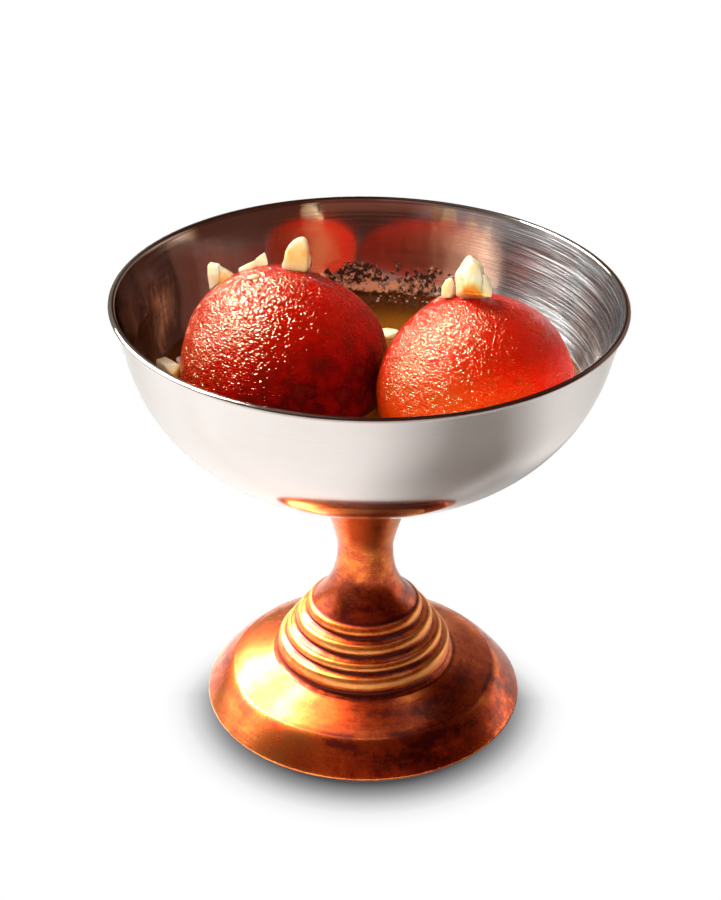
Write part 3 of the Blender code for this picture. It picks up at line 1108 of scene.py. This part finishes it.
@dataclass
class GulabJamun:
    """A fried ball: a sphere with soft lobes, a finely wrinkled skin, and flats where it presses.

    The centre is in millimetres. Each lobe is a direction, a height as a share of the radius, and
    a width. The grid is finer within the wet angle of the pole, which stands out of the syrup.
    """

    name: str
    node: str
    centre: Triple
    radius: float
    lobes: tuple[tuple[Triple, float, float], ...]
    pole: Triple
    skin: FriedSkin
    seed: int
    lump: float = 0.22 * MM
    lump_size: float = 9.0 * MM
    pull: float = 0.35 * MM
    pull_size: float = 2.6 * MM
    wrinkle: float = 0.075 * MM
    ridge_size: float = 1.9 * MM
    fine_size: float = 0.95 * MM
    wet_angle: float = 112.0
    bowl_gap: float = 0.12 * MM
    touch_gap: float = 0.04 * MM
    fade: float = 0.75
    upper_rows: int = 196
    lower_rows: int = 34
    columns: int = 400

    def middle(self) -> Array:
        """The centre in metres."""
        return np.array(self.centre) * MM

    def directions(self) -> Array:
        """Unit directions on a grid of polar angle and turn about the pole."""
        wet = math.radians(self.wet_angle)
        upper = np.linspace(0.0, wet, self.upper_rows)
        lower = np.linspace(wet, math.pi, self.lower_rows)[1:]
        tilt = np.array(Vector(self.pole).to_track_quat("Z", "Y").to_matrix())
        return ball(np.concatenate([upper, lower]), whole_turn(self.columns)) @ tilt.T

    def reach(self, directions: Array) -> Array:
        """Distance from the centre along unit directions: the radius, times one plus each lobe's
        height faded by how far the direction is from the lobe, plus lumps and wrinkles.

        A wrinkle is one less twice the size of a wave, at places that slower waves have pulled
        aside, with a finer wave added.
        """
        shape = np.ones(len(directions))
        for axis, height, width in self.lobes:
            shape += height * np.exp((directions @ unit(axis) - 1.0) / width)
        smooth = self.radius * shape
        place = directions * self.radius
        lumps = layered(place / self.lump_size, 2, self.seed) * self.lump
        pulls = [wave(place / self.pull_size, self.seed + 20 + axis) for axis in range(3)]
        bent = place + self.pull * np.stack(pulls, axis=-1)
        ridges = 1.0 - 2.0 * np.abs(wave(bent / self.ridge_size, self.seed + 40))
        fine = wave(bent / self.fine_size, self.seed + 50)
        return smooth + lumps + self.wrinkle * (0.8 * ridges + 0.55 * fine)

    def build(self, bowl: SteelBowl, other: GulabJamun) -> None:
        """Makes and dresses the ball.

        Args:
            bowl: the bowl that it lies in.
            other: the ball that it leans against.
        """
        grid = self.directions()
        flat = grid.reshape(-1, 3)
        points = self.middle() + flat * self.reach(flat)[:, None]
        points = bowl.pressed_inside(points, self.bowl_gap)
        points = self.pressed_against(points, other)
        mesh = closed_bodies(self.name, points.reshape(grid.shape))
        # deep is painted shade and edge a painted side tint; brown and dry are the dough's own
        sides = (
            ("deep", self.skin.shade_way, -0.1),
            ("edge", self.skin.side_light_and_shade_way, 0.45),
            ("brown", self.skin.brown_way, 0.1),
            ("dry", self.skin.dry_way, 0.25),
        )
        for name, way, start in sides:
            stored_values(mesh, name, eased(((grid @ unit(way)) - start) / self.fade))
        placed(mesh, self.skin.material(), [self.node])

    def pressed_against(self, points: Array, other: GulabJamun) -> Array:
        """Keeps points on this ball's side of the plane where the two meet."""
        axis = other.middle() - self.middle()
        length = np.linalg.norm(axis)
        axis = axis / length
        limit = length * self.radius / (self.radius + other.radius) - self.touch_gap
        beyond = np.maximum((points - self.middle()) @ axis - limit, 0.0)
        return points - np.outer(beyond, axis)


@dataclass
class SyrupPool:
    """Syrup lying in the bowl. It climbs a little on the steel, and by a share of that round the
    sweets, and has left a ragged dark crust on the wall behind them."""

    climb: float = 0.7 * MM
    sweet_climb: float = 0.7
    reach: float = 1.1 * MM
    sink: float = 0.25 * MM
    # where the painted shade near the wall gives way to painted light
    pale_from: float = 1.0 * MM
    pale_over: float = 16.0 * MM
    crust_start: float = 0.6 * MM
    crust_top: float = 6.5 * MM
    crust_depth: float = 0.34 * MM
    crumb_depth: float = 0.16 * MM
    crust_back: float = 0.2 * MM
    crust_patch: float = 3.6 * MM
    crumb_size: float = 0.9 * MM
    crust_towards: float = 88.0
    crust_spread: float = 34.0
    # a band of painted reflection, more bright crumbs, just above the syrup at the back
    shine_height: float = 1.7 * MM
    shine_reach: float = 0.9 * MM
    shine_spread: float = 9.0
    columns: int = 420
    top_rows: int = 110
    crust_rows: int = 48

    def top(self, bowl: SteelBowl, sweets: Sequence[GulabJamun], level: float) -> tuple[Array, Array]:
        """The free surface: the level plus a lift that fades as an exponential of the distance from
        the wall and from each sweet's waterline.

        Args:
            bowl: gives the wall.
            sweets: the sweets that stand in the syrup.
            level: height of the free surface.

        Returns:
            The grid and its distance from the wall.
        """
        edge = float(bowl.inner_radius(level + self.climb))
        share = np.linspace(0.0, 1.0, self.top_rows)
        radii = edge * (1.0 - (1.0 - share) ** 1.3)
        grid = spun(np.stack([radii, np.full(self.top_rows, level)], axis=1), self.columns)
        gap = edge - np.hypot(grid[..., 0], grid[..., 1])
        lift = np.exp(-gap / self.reach)
        for sweet in sweets:
            centre = sweet.middle()
            waterline = math.sqrt(sweet.radius**2 - (centre[2] - level) ** 2)
            away = np.hypot(grid[..., 0] - centre[0], grid[..., 1] - centre[1]) - waterline
            lift += self.sweet_climb * np.exp(-np.maximum(away, 0.0) / self.reach)
        grid[..., 2] += self.climb * np.minimum(lift, 1.0)
        return grid, gap

    @staticmethod
    def drawn_in(place: Array, share: Array) -> Array:
        """Points moved towards the axis by a share of their distance from it."""
        kept = (1.0 - share)[..., None]
        return np.concatenate([place[..., :2] * kept, place[..., 2:]], axis=-1)

    def crust(self, bowl: SteelBowl, level: float) -> None:
        """Makes and dresses the crust.

        Its depth is a noise less a share of the height and less how far it is round the bowl from
        the back, so it thins out upwards and sideways; where it is negative it lies in the steel.
        """
        share = np.linspace(0.0, 1.0, self.crust_rows)[:, None]
        angle = whole_turn(2 * self.columns)[None, :]
        height = level - self.crust_start + (self.crust_top + self.crust_start) * share + 0.0 * angle
        radius = bowl.inner_radius(height)
        place = np.stack([radius * np.cos(angle), radius * np.sin(angle), height], axis=-1)
        flat = place.reshape(-1, 3)
        ragged = layered(flat / self.crust_patch, 3, 71, 0.6).reshape(height.shape)
        crumbs = layered(flat / self.crumb_size, 2, 83, 0.6).reshape(height.shape)
        aside = (np.degrees(angle) - self.crust_towards + 180.0) % 360.0 - 180.0
        away = (aside / self.crust_spread) ** 2
        cover = 1.0 + 0.8 * ragged + 0.45 * crumbs - 1.25 * share - 0.9 * away
        depth = np.clip(cover, -0.25, 0.8) * self.crust_depth + self.crumb_depth * crumbs * (cover > 0.0)
        front = self.drawn_in(place, depth / radius)
        back = self.drawn_in(place, -self.crust_back / radius)
        mesh = closed_ring("dried_syrup_on_wall", np.concatenate([front[::-1], back]))
        # Painted reflection: more bright crumbs in a band just above the syrup at the back
        shine = bell(height, level + self.shine_height, self.shine_reach)
        shine = shine * bell(aside, 0.0, self.shine_spread)
        stored_values(mesh, "shine", np.concatenate([shine[::-1], shine]).ravel())
        placed(mesh, DriedSyrup().material())

    def build(self, bowl: SteelBowl, sweets: Sequence[GulabJamun]) -> None:
        """Makes and dresses the pool, whose underside lies just inside the steel, and the crust."""
        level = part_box("syrup")[1].z
        surface, gap = self.top(bowl, sweets, level)
        floor = bowl.underside + bowl.wall - self.sink
        heights = floor + (level + self.climb - floor) * np.linspace(1.0, 0.0, 50) ** 1.5
        under = np.stack([bowl.inner_radius(heights) + self.sink, heights], axis=1)
        under = np.concatenate([under, [[bowl.floor_radius * 0.5, floor], [0.0, floor]]])
        grid = np.concatenate([surface, spun(under, self.columns)])
        mesh = closed_bodies("sugar_syrup", grid)
        free = np.zeros(grid.shape[:2])
        # Painted light on the syrup: dark near the wall, lit amber away from it
        free[: len(surface)] = eased((gap - self.pale_from) / self.pale_over)
        stored_values(mesh, "open", free)
        placed(mesh, AmberSyrup().material(), ["syrup"])
        self.crust(bowl, level)


@dataclass
class Chip:
    """One flake of nut: an outline whose edges are cut at different slants, with blunt corners.

    Its sizes are in proportion only, because the nut stretches it to fill the part of the node's
    box from low to high, which are shares of the box. A higher crisp gives sharper edges.
    """

    outline: tuple[Pair, ...]
    depth: float = 3.0
    crisp: float = 16.0
    slant: float = 0.45
    chipping: float = 0.05
    roughness: float = 0.015
    low: Triple = (0.0, 0.0, 0.0)
    high: Triple = (1.0, 1.0, 1.0)
    seed: int = 1

    def faces(self) -> tuple[Array, Array]:
        """Outward directions and distances of the cut faces, about the outline's middle.

        Each edge gives a face that passes through it and slants by a seeded angle. The front is
        two faces that meet in a ridge, and the back is one.
        """
        random = np.random.default_rng(self.seed)
        points = np.array(self.outline)
        points = points - points.mean(axis=0)
        edge = np.roll(points, -1, axis=0) - points
        normal = np.stack([edge[:, 1], -edge[:, 0]], axis=1) / np.linalg.norm(edge, axis=1)[:, None]
        distance = np.einsum("ij,ij->i", normal, points)
        tilt = random.uniform(-self.slant, self.slant, len(points))
        sides = np.stack([normal[:, 0] * np.cos(tilt), normal[:, 1] * np.cos(tilt), np.sin(tilt)], axis=1)
        lean = random.uniform(0.15, 0.45, 2)
        turn = random.uniform(0.0, math.tau)
        across, along = math.cos(turn), math.sin(turn)
        front = np.stack([
            unit((across * lean[0], along * lean[0], 1.0)),
            unit((-across * lean[1], -along * lean[1], 1.0)),
            unit((0.1 * across, 0.2, -1.0)),
        ])
        half = np.full(len(front), self.depth / 2.0)
        return np.concatenate([sides, front]), np.concatenate([distance * np.cos(tilt), half])

    def points(self, rows: int = 54, columns: int = 84) -> Array:
        """The chip's surface in its own axes, right, up and front.

        Along a unit direction the distance is (sum of (direction . face / distance)^p)^(-1/p), over
        the faces that the direction meets: a polyhedron whose corners are rounder for a lower p.
        """
        way = ball(np.linspace(0.0, math.pi, rows), whole_turn(columns))
        faces, distance = self.faces()
        meets = np.maximum(way @ faces.T, 0.0) / distance
        size = (meets**self.crisp).sum(axis=-1) ** (-1.0 / self.crisp)
        grid = way * size[..., None]
        flat = grid.reshape(-1, 3)
        chipped = 1.0 - np.abs(layered(flat / 1.6, 2, self.seed + 5))
        rough = layered(flat / 0.55, 2, self.seed + 9)
        swell = 1.0 + self.chipping * chipped + self.roughness * rough
        return (flat * swell[:, None]).reshape(grid.shape)


@dataclass
class ChoppedNut:
    """A chopped nut of one or more chips, fitted to its CAD node's box and sunk a little."""

    node: str
    chips: tuple[Chip, ...]
    lean: float = 28.0
    turn: float = 0.0
    sink: float = 0.5 * MM
    # a spot of syrup soak and painted glow, at a share of the box, and its size
    soaked: float = 0.0
    soak_glow_spot: Triple = (0.45, 0.0, 0.05)
    mark_size: float = 1.7 * MM

    @property
    def piece(self) -> str:
        """Name of the piece that stands for the node."""
        return self.node.replace("nut", "chopped_nut")

    def axes(self) -> Array:
        """Right, up and front axes of the outline's plane, as rows."""
        turn, lean = math.radians(self.turn), math.radians(self.lean)
        right = np.array((math.cos(turn), math.sin(turn), 0.0))
        back = np.array((-math.sin(turn), math.cos(turn), 0.0))
        up = back * math.sin(lean) + np.array((0.0, 0.0, math.cos(lean)))
        return np.stack([right, up, np.cross(right, up)])

    def build(self, finish: bpy.types.Material) -> None:
        """Makes and dresses the nut: each chip fills its own share of the node's box."""
        low, high = (np.array(corner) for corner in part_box(self.node))
        low[2] -= self.sink
        grids = []
        for chip in self.chips:
            grid = chip.points() @ self.axes()
            start = grid.min(axis=(0, 1))
            span = grid.max(axis=(0, 1)) - start
            corner = low + (high - low) * np.array(chip.low)
            size = (high - low) * (np.array(chip.high) - np.array(chip.low))
            grids.append(corner + (grid - start) / span * size)
        stack = np.stack(grids)
        mesh = closed_bodies(self.piece, stack)
        # Syrup soak and painted glow round a spot: the orange at the crown's foot is painted red light from
        # the sweet
        spot = low + (high - low) * np.array(self.soak_glow_spot)
        away = np.linalg.norm(stack - spot, axis=-1)
        stored_values(mesh, "soaked", self.soaked * (1.0 - eased(away / self.mark_size - 0.4)))
        placed(mesh, finish, [self.node])


@dataclass
class Beads:
    """Small round bubbles, as one piece."""

    name: str
    centres: Array
    radii: Array
    rows: int = 11
    columns: int = 16

    def build(self, finish: bpy.types.Material) -> None:
        """Makes and dresses the beads, each a sphere of its own radius."""
        sphere = ball(np.linspace(0.0, math.pi, self.rows), whole_turn(self.columns))
        grids = self.centres[:, None, None, :] + sphere[None] * self.radii[:, None, None, None]
        placed(closed_bodies(self.name, grids), finish)


def bubbles(bowl: SteelBowl, level: float) -> Beads:
    """Bubbles along the syrup's edge at the back, at seeded angles and distances from the wall."""
    random = np.random.default_rng(5)
    count = 46
    angle = np.radians(random.uniform(62.0, 112.0, count))
    radii = random.uniform(0.10, 0.34, count) * MM
    out = bowl.inner_radius(level) - random.uniform(0.3, 3.2, count) ** 1.2 * MM
    height = np.full(count, level + 0.02 * MM)
    centres = np.stack([out * np.cos(angle), out * np.sin(angle), height], axis=1)
    return Beads("syrup_bubbles", centres, radii)


def froth(level: float) -> Beads:
    """A clump of froth between the nut at the wall and the left sweet, at seeded places."""
    random = np.random.default_rng(8)
    count = 34
    sweet_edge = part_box("gulab_jamun_left")[0].x
    place = np.array([sweet_edge - 1.2 * MM, 5.6 * MM, level + 1.5 * MM])
    centres = place + random.uniform(-1.0, 1.0, (count, 3)) * np.array([0.6, 0.8, 1.3]) * MM
    return Beads("froth", centres, random.uniform(0.2, 0.42, count) * MM)


# ---------------------------------------------------------------------------------------------
# Studio
# ---------------------------------------------------------------------------------------------

WHITE = (1.0, 1.0, 1.0)
BLACK = (0.0, 0.0, 0.0)
PALE_WARM = (1.0, 0.98, 0.95)
GOLDEN = (1.0, 0.89, 0.70)


class Serves(Enum):
    """What a light is for."""

    MATT = "matt surfaces"
    MIRRORS = "mirrors and clear things"


def linked(data: bpy.types.ID, place: Matrix) -> bpy.types.Object:
    """Puts a light or camera in the scene at a place."""
    holder = bpy.data.objects.new(data.name, data)
    holder.matrix_world = place
    bpy.context.scene.collection.objects.link(holder)
    return holder


@dataclass
class Softbox:
    """A rectangular area light of a given radiance, hung in a direction from its aim.

    It serves every piece, or only those that are named in only.
    """

    name: str
    towards: Triple
    distance: float
    size: Pair
    radiance: float
    colour: Triple
    serves: Serves
    only: tuple[str, ...] = ()
    aim: Triple = (-0.01, -0.01, 0.03)

    def build(self) -> None:
        """Hangs the light."""
        lamp = bpy.data.lights.new(self.name, "AREA")
        lamp.shape = "RECTANGLE"
        lamp.size, lamp.size_y = self.size
        lamp.energy = self.radiance * math.pi * self.size[0] * self.size[1]
        lamp.color = self.colour
        way = Vector(self.towards).normalized()
        turned = way.to_track_quat("Z", "Y").to_matrix().to_4x4()
        holder = linked(lamp, Matrix.Translation(Vector(self.aim) + way * self.distance) @ turned)
        holder.visible_diffuse = self.serves is Serves.MATT
        holder.visible_glossy = self.serves is Serves.MIRRORS
        holder.visible_transmission = self.serves is Serves.MIRRORS
        if self.only:
            lit = bpy.data.collections.new(self.name + "_pieces")
            for name in self.only:
                lit.objects.link(bpy.data.objects[name])
            holder.light_linking.receiver_collection = lit


@dataclass(frozen=True)
class Panel:
    """A soft-edged panel of the room: turns are azimuths from behind the bowl, positive to the
    right, and heights are elevations, all in degrees."""

    turns: Pair
    heights: Pair
    soft: float
    colour: Triple

    def share(self, palette: Palette, turn: Socket, height: Socket) -> Socket:
        """How much of the panel a direction meets: eased steps at its four sides, multiplied."""
        share: object = 1.0
        for value, (low, high) in ((turn, self.turns), (height, self.heights)):
            for side, (start, end) in ((low, (0.0, 1.0)), (high, (1.0, 0.0))):
                near = math.radians(side - self.soft / 2.0)
                far = math.radians(side + self.soft / 2.0)
                share = palette.times(share, palette.spread(value, near, far, start, end))
        return share


@dataclass
class Room:
    """The dim room and its soft panels. Only mirrors meet it; the camera sees plain white."""

    dim: Triple = (0.026, 0.009, 0.006)
    strength: float = 2.4
    panels: tuple[Panel, ...] = (
        Panel((-150.0, -90.0), (-30.0, 24.0), 30.0, (0.14, 0.13, 0.125)),
        Panel((-94.0, -5.0), (8.0, 68.0), 12.0, (0.12, 0.11, 0.10)),
        Panel((-94.0, -56.0), (8.0, 56.0), 12.0, (0.66, 0.65, 0.63)),
        Panel((-92.0, 12.0), (-30.0, -1.0), 8.0, (0.46, 0.46, 0.45)),
        Panel((12.0, 92.0), (-30.0, 9.0), 8.0, (0.34, 0.21, 0.13)),
        Panel((58.0, 88.0), (-8.0, 8.0), 10.0, (0.38, 0.28, 0.21)),
        Panel((92.0, 150.0), (-30.0, 4.0), 16.0, (0.055, 0.016, 0.010)),
        Panel((88.0, 150.0), (4.0, 70.0), 20.0, (0.042, 0.013, 0.008)),
        Panel((14.0, 70.0), (8.0, 36.0), 14.0, (0.12, 0.085, 0.070)),
        Panel((-176.0, -148.0), (18.0, 30.0), 8.0, (0.10, 0.066, 0.056)),
    )

    def build(self) -> None:
        """Lays each panel over those before it, as a sky of azimuth and elevation."""
        palette = Palette("room", world=True)
        x, y, z = palette.parts(palette.node("ShaderNodeTexCoord").outputs["Generated"])
        turn = palette.math("ARCTAN2", x, y)
        height = palette.math("ARCSINE", z)
        tone: object = self.dim
        for panel in self.panels:
            tone = palette.mixed(panel.share(palette, turn, height), tone, panel.colour)
        palette.surface(Color=tone, Strength=self.strength)
        palette.switched(Ray.CAMERA, palette.fed(palette.node("ShaderNodeBackground"), WHITE))
        bpy.context.scene.world = palette.owner
        palette.owner.cycles_visibility.diffuse = False


@dataclass
class Floor:
    """Pale matt floor. Seen straight on it is burnt out to white, but for a soft shade round the
    foot; the pieces are lit by its matt side and mirror that."""

    size: float = 3.0
    shade_shift: Triple = (-0.0004, 0.005, 0.0)
    shade_reach: Pair = (0.030, 0.0445)
    shade_greys: tuple[tuple[float, Triple], ...] = (
        (0.0, (0.08, 0.08, 0.085)), (0.25, (0.34, 0.34, 0.345)), (0.47, (0.645, 0.645, 0.645)),
        (0.69, (0.888, 0.888, 0.888)), (0.85, (0.96, 0.96, 0.96)), (1.0, WHITE),
    )
    near: Triple = (0.91, 0.92, 0.94)
    far: Triple = (0.64, 0.64, 0.64)

    def seen(self, palette: Palette) -> Socket:
        """What the camera sees: greys by the distance from the foot's middle, which counts for
        more behind it, so that the shade is shorter there."""
        x, y, _ = palette.parts(palette.mapped(palette.position(), self.shade_shift))
        squares = (palette.math("POWER", value, 2.0) for value in (x, y))
        away = palette.math("SQRT", palette.plus(*squares))
        behind = palette.times(palette.math("MAXIMUM", y, 0.0), 0.3)
        reach = palette.spread(palette.plus(away, behind), *self.shade_reach, how="LINEAR")
        return palette.fed(palette.node("ShaderNodeEmission"), palette.ramp(reach, *self.shade_greys))

    def build(self) -> None:
        """Lays the floor. Its matt side is darker towards the back and behind on the right, where
        the bowl shades it, and glows a little in front on the left."""
        half = self.size / 2.0
        corners = [(-half, -half, 0.0), (half, -half, 0.0), (half, half, 0.0), (-half, half, 0.0)]
        mesh = bpy.data.meshes.new("floor")
        mesh.from_pydata(corners, [], [(0, 1, 2, 3)])
        palette = Palette("pale_floor")
        across, depth, _ = palette.parts(palette.position())
        tone = palette.mixed(palette.spread(depth, 0.0, 0.12), self.near, self.far)
        shade = palette.times(
            palette.spread(across, 0.015, 0.035, end=0.52),
            palette.spread(depth, -0.02, 0.005),
            palette.spread(across, 0.055, 0.080, 1.0, 0.1),
        )
        glow = palette.times(
            palette.spread(depth, -0.04, -0.01, 1.0, 0.0),
            palette.spread(across, -0.03, 0.02, 0.1, 0.0),
        )
        palette.surface(
            Base_Color=palette.mixed(shade, tone, BLACK),
            Roughness=0.9,
            Specular_IOR_Level=0.0,
            Emission_Color=WHITE,
            Emission_Strength=glow,
        )
        palette.switched(Ray.CAMERA, self.seen(palette))
        mesh.materials.append(palette.owner)
        piece = bpy.data.objects.new("floor", mesh)
        bpy.context.scene.collection.objects.link(piece)


@dataclass
class Studio:
    """Floor, lights, room and the camera, which looks slightly down on the bowl."""

    sweets: tuple[str, ...]
    nuts: tuple[str, ...]
    foot: tuple[str, ...] = ("copper_stem_and_foot",)
    froth: tuple[str, ...] = ("froth",)
    camera_place: Triple = (0.0, -0.3668, 0.2671)
    pitch: float = 29.48
    yaw: float = 0.21
    roll: float = 0.8
    lens: float = 80.92
    window: Triple = (-0.53, 0.49, 0.695)

    def camera(self) -> None:
        """Turns the camera by yaw about Z, tips it down by pitch, and rolls it about its view."""
        data = bpy.data.cameras.new("camera")
        data.lens = self.lens
        data.sensor_width = 36.0
        data.clip_start = 0.01
        turns = ((self.yaw, "Z"), (90.0 - self.pitch, "X"), (self.roll, "Z"))
        place = Matrix.Translation(self.camera_place)
        for angle, axis in turns:
            place = place @ Matrix.Rotation(math.radians(angle), 4, axis)
        bpy.context.scene.camera = linked(data, place)

    def lights(self) -> tuple[Softbox, ...]:
        """A window behind on the left, and fills. Matt things and mirrors each have their own
        light, so that each can be as bright as it needs."""
        matt, mirrors = Serves.MATT, Serves.MIRRORS
        meshes = (piece.name for piece in bpy.data.objects if piece.type == "MESH")
        others = tuple(name for name in meshes if name not in self.sweets)
        return (
            Softbox("key", self.window, 1.40, (0.60, 0.50), 27.0, PALE_WARM, matt),
            Softbox("key_sheen", self.window, 1.40, (0.80, 0.70), 44.0, PALE_WARM, mirrors, others),
            Softbox("top_sheen", (-0.40, 0.52, 0.755), 1.40, (0.50, 0.40), 150.0, GOLDEN, mirrors,
                    self.sweets),
            Softbox("wet_sheen", (-0.62, 0.34, 0.71), 1.40, (0.70, 0.50), 310.0, GOLDEN, mirrors,
                    self.sweets),
            Softbox("side_sheen", (0.86, 0.46, 0.14), 1.20, (0.75, 0.22), 1.6, (1.0, 0.84, 0.72), mirrors,
                    self.foot),
            Softbox("foot_sheen", self.window, 1.40, (0.55, 0.45), 105.0, PALE_WARM, mirrors, self.foot),
            Softbox("nut_fill", (-0.45, -0.55, 0.70), 1.20, (1.0, 1.0), 1.8, PALE_WARM, matt,
                    self.nuts + self.froth),
            Softbox("soft_left", (-0.6, 0.3, 0.8), 1.20, (1.2, 1.0), 1.4, PALE_WARM, matt),
            Softbox("front_fill", (0.15, -0.75, 0.65), 1.20, (1.2, 1.0), 1.8, (1.0, 0.86, 0.76), matt),
            Softbox("warm_fill", (-0.05, -0.80, 0.60), 1.10, (1.20, 0.90), 0.18, (1.0, 0.32, 0.20),
                    mirrors),
        )

    def build(self) -> None:
        """Sets up floor, lights, room, camera and the plain view of colours."""
        Floor().build()
        for softbox in self.lights():
            softbox.build()
        Room().build()
        self.camera()
        bpy.context.scene.view_settings.view_transform = "Standard"


# ---------------------------------------------------------------------------------------------
# The sweets and nuts of this bowl
# ---------------------------------------------------------------------------------------------

LEFT_SWEET = GulabJamun(
    name="left_gulab_jamun",
    node="gulab_jamun_left",
    centre=(-17.1, -2.3, 80.0),
    radius=21.0 * MM,
    lobes=(
        ((-0.72, 0.34, 0.60), 0.020, 0.10),
        ((0.42, 0.46, 0.78), -0.056, 0.085),
        ((0.87, 0.25, 0.43), 0.018, 0.08),
        ((-0.99, 0.07, 0.12), -0.014, 0.06),
        ((0.0, -0.6, -0.8), -0.030, 0.30),
    ),
    pole=(0.12, 0.22, 1.0),
    skin=FriedSkin(
        name="left_fried_skin",
        bright=(0.62, 0.007, 0.001),
        # deep: painted shade on the lower right front; edge: painted orange light on the lit left
        deep=(0.085, 0.001, 0.002),
        edge=(0.56, 0.045, 0.004),
        brown=(0.22, 0.030, 0.012),
        shade_way=(0.50, -0.62, -0.60),
        side_light_and_shade_way=(-0.95, -0.1, -0.1),
        grain=1900.0,
    ),
    seed=11,
)
RIGHT_SWEET = GulabJamun(
    name="right_gulab_jamun",
    node="gulab_jamun_right",
    centre=(21.2, -15.9, 82.0),
    radius=19.5 * MM,
    lobes=(
        ((-0.37, 0.46, 0.81), 0.036, 0.014),
        ((0.64, 0.38, 0.67), 0.028, 0.08),
        ((-0.80, 0.30, 0.52), -0.012, 0.06),
        ((0.0, -0.6, -0.8), -0.030, 0.30),
    ),
    pole=(-0.07, 0.11, 1.0),
    skin=FriedSkin(
        name="right_fried_skin",
        bright=(0.76, 0.012, 0.001),
        # deep: painted shade, a darker orange-red, on the lower front; edge: painted dark brown shade on
        # the lower right
        deep=(0.56, 0.040, 0.001),
        edge=(0.30, 0.070, 0.008),
        brown=(0.24, 0.016, 0.006),
        shade_way=(-0.35, -0.70, -0.62),
        side_light_and_shade_way=(0.60, -0.66, -0.50),
        grain=2600.0,
    ),
    seed=23,
)
# The soak and glow spots are partly syrup soak and partly painted glow of light through the nuts
NUTS = (
    ChoppedNut("nut_shoulder", (
        Chip(((-1.0, -2.0), (0.6, -1.3), (2.4, 0.3), (1.5, 1.2), (0.2, 2.0), (-1.0, 1.9), (-1.6, 0.0)), 3.0,
             seed=3, low=(0.2, 0.0, 0.0)),
        Chip(((-0.8, -2.4), (1.0, -1.0), (0.8, 1.8), (-1.2, 2.1)), 2.6, seed=33, high=(0.5, 0.9, 1.0)),
    ), soaked=0.5, soak_glow_spot=(0.65, 0.1, 0.35), mark_size=2.0 * MM),
    ChoppedNut("nut_shard", (
        Chip(((-3.0, -2.2), (0.4, -2.0), (1.4, -0.6), (0.9, 1.2), (-0.4, 0.4), (-2.9, -1.0)), 2.2, seed=5,
             high=(0.68, 0.85, 0.66)),
        Chip(((-0.2, -1.4), (3.0, -0.9), (2.9, 1.3), (2.5, 2.4), (0.7, 0.9)), 2.2, seed=17,
             low=(0.48, 0.25, 0.12)),
    )),
    ChoppedNut("nut_sliver", (
        Chip(((-1.5, -0.4), (0.8, -0.6), (1.6, 0.4), (0.4, 0.7), (-1.2, 0.3)), 1.0, seed=6),
    ), sink=0.3 * MM),
    ChoppedNut("nut_peak", (
        Chip(((-2.6, -2.8), (2.2, -3.4), (2.6, -0.5), (2.4, 1.8), (2.0, 3.0), (0.9, 3.6), (-0.5, 3.0),
              (-2.0, 1.0)), 4.0, crisp=7.0, slant=0.25, seed=8, low=(0.06, 0.0, 0.0),
             high=(0.96, 1.0, 1.0)),
        Chip(((-1.0, -1.0), (1.0, -1.1), (1.1, 0.5), (0.0, 1.1), (-1.0, 0.6)), 2.4, crisp=6.0, seed=21,
             low=(0.0, 0.15, 0.0), high=(0.38, 0.7, 0.36)),
        Chip(((-1.0, -1.0), (1.0, -1.1), (1.1, 0.5), (0.0, 1.1), (-1.0, 0.6)), 2.4, crisp=6.0, seed=22,
             low=(0.72, 0.3, 0.05), high=(1.0, 0.85, 0.52)),
    ), soaked=0.42, soak_glow_spot=(0.62, 0.1, 0.62), mark_size=3.0 * MM),
    ChoppedNut("nut_crown", (
        Chip(((-2.8, -3.6), (0.6, -4.2), (1.6, -3.0), (1.7, 0.2), (1.1, 2.2), (-1.1, 4.0), (-2.1, 3.0),
              (-3.5, 0.3)), 5.0, crisp=18.0, seed=9, high=(0.80, 1.0, 1.0)),
        Chip(((-2.5, -3.0), (2.4, -3.6), (3.6, -1.2), (2.6, 1.2), (0.6, 2.4), (-2.0, 1.6)), 4.0, seed=31,
             low=(0.25, 0.0, 0.0), high=(1.0, 0.9, 0.74)),
    ), soaked=1.2, soak_glow_spot=(0.40, 0.02, 0.30), mark_size=2.5 * MM),
    ChoppedNut("nut_crumb", (
        Chip(((-1.4, -1.9), (1.1, -1.9), (1.4, 0.9), (0.6, 1.7), (-0.5, 1.4), (-1.4, 0.3)), 2.4, crisp=7.0,
             seed=12),
    )),
    ChoppedNut("nut_floating", (
        Chip(((-2.8, -1.2), (-1.0, -2.2), (1.0, -1.6), (3.2, -0.4), (2.3, 1.0), (-0.3, 2.2), (-1.6, 1.4),
              (-3.0, 0.6)), 1.8, seed=14),
    ), lean=86.0, sink=0.0),
    ChoppedNut("nut_at_wall", (
        Chip(((-3.2, -1.0), (3.6, -1.5), (4.1, -0.4), (3.6, 0.9), (-2.6, 1.3)), 2.0, crisp=22.0, seed=15,
             slant=0.2),
    ), lean=80.0, turn=-45.0, sink=0.0, soaked=0.75, soak_glow_spot=(0.9, 0.1, 0.2), mark_size=2.2 * MM),
)


def main() -> None:
    """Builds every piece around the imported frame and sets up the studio."""
    logging.basicConfig(level=logging.INFO, format="%(name)s %(message)s")
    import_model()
    bowl = SteelBowl()
    bowl.build()
    CopperFoot().build()
    LEFT_SWEET.build(bowl, RIGHT_SWEET)
    RIGHT_SWEET.build(bowl, LEFT_SWEET)
    SyrupPool().build(bowl, (LEFT_SWEET, RIGHT_SWEET))
    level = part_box("syrup")[1].z
    foam = Froth().material()
    bubbles(bowl, level).build(foam)
    froth(level).build(foam)
    flesh = NutFlesh().material()
    for nut in NUTS:
        nut.build(flesh)
    sweets = (LEFT_SWEET.name, RIGHT_SWEET.name)
    Studio(sweets, tuple(nut.piece for nut in NUTS)).build()


if __name__ == "__main__":
    main()
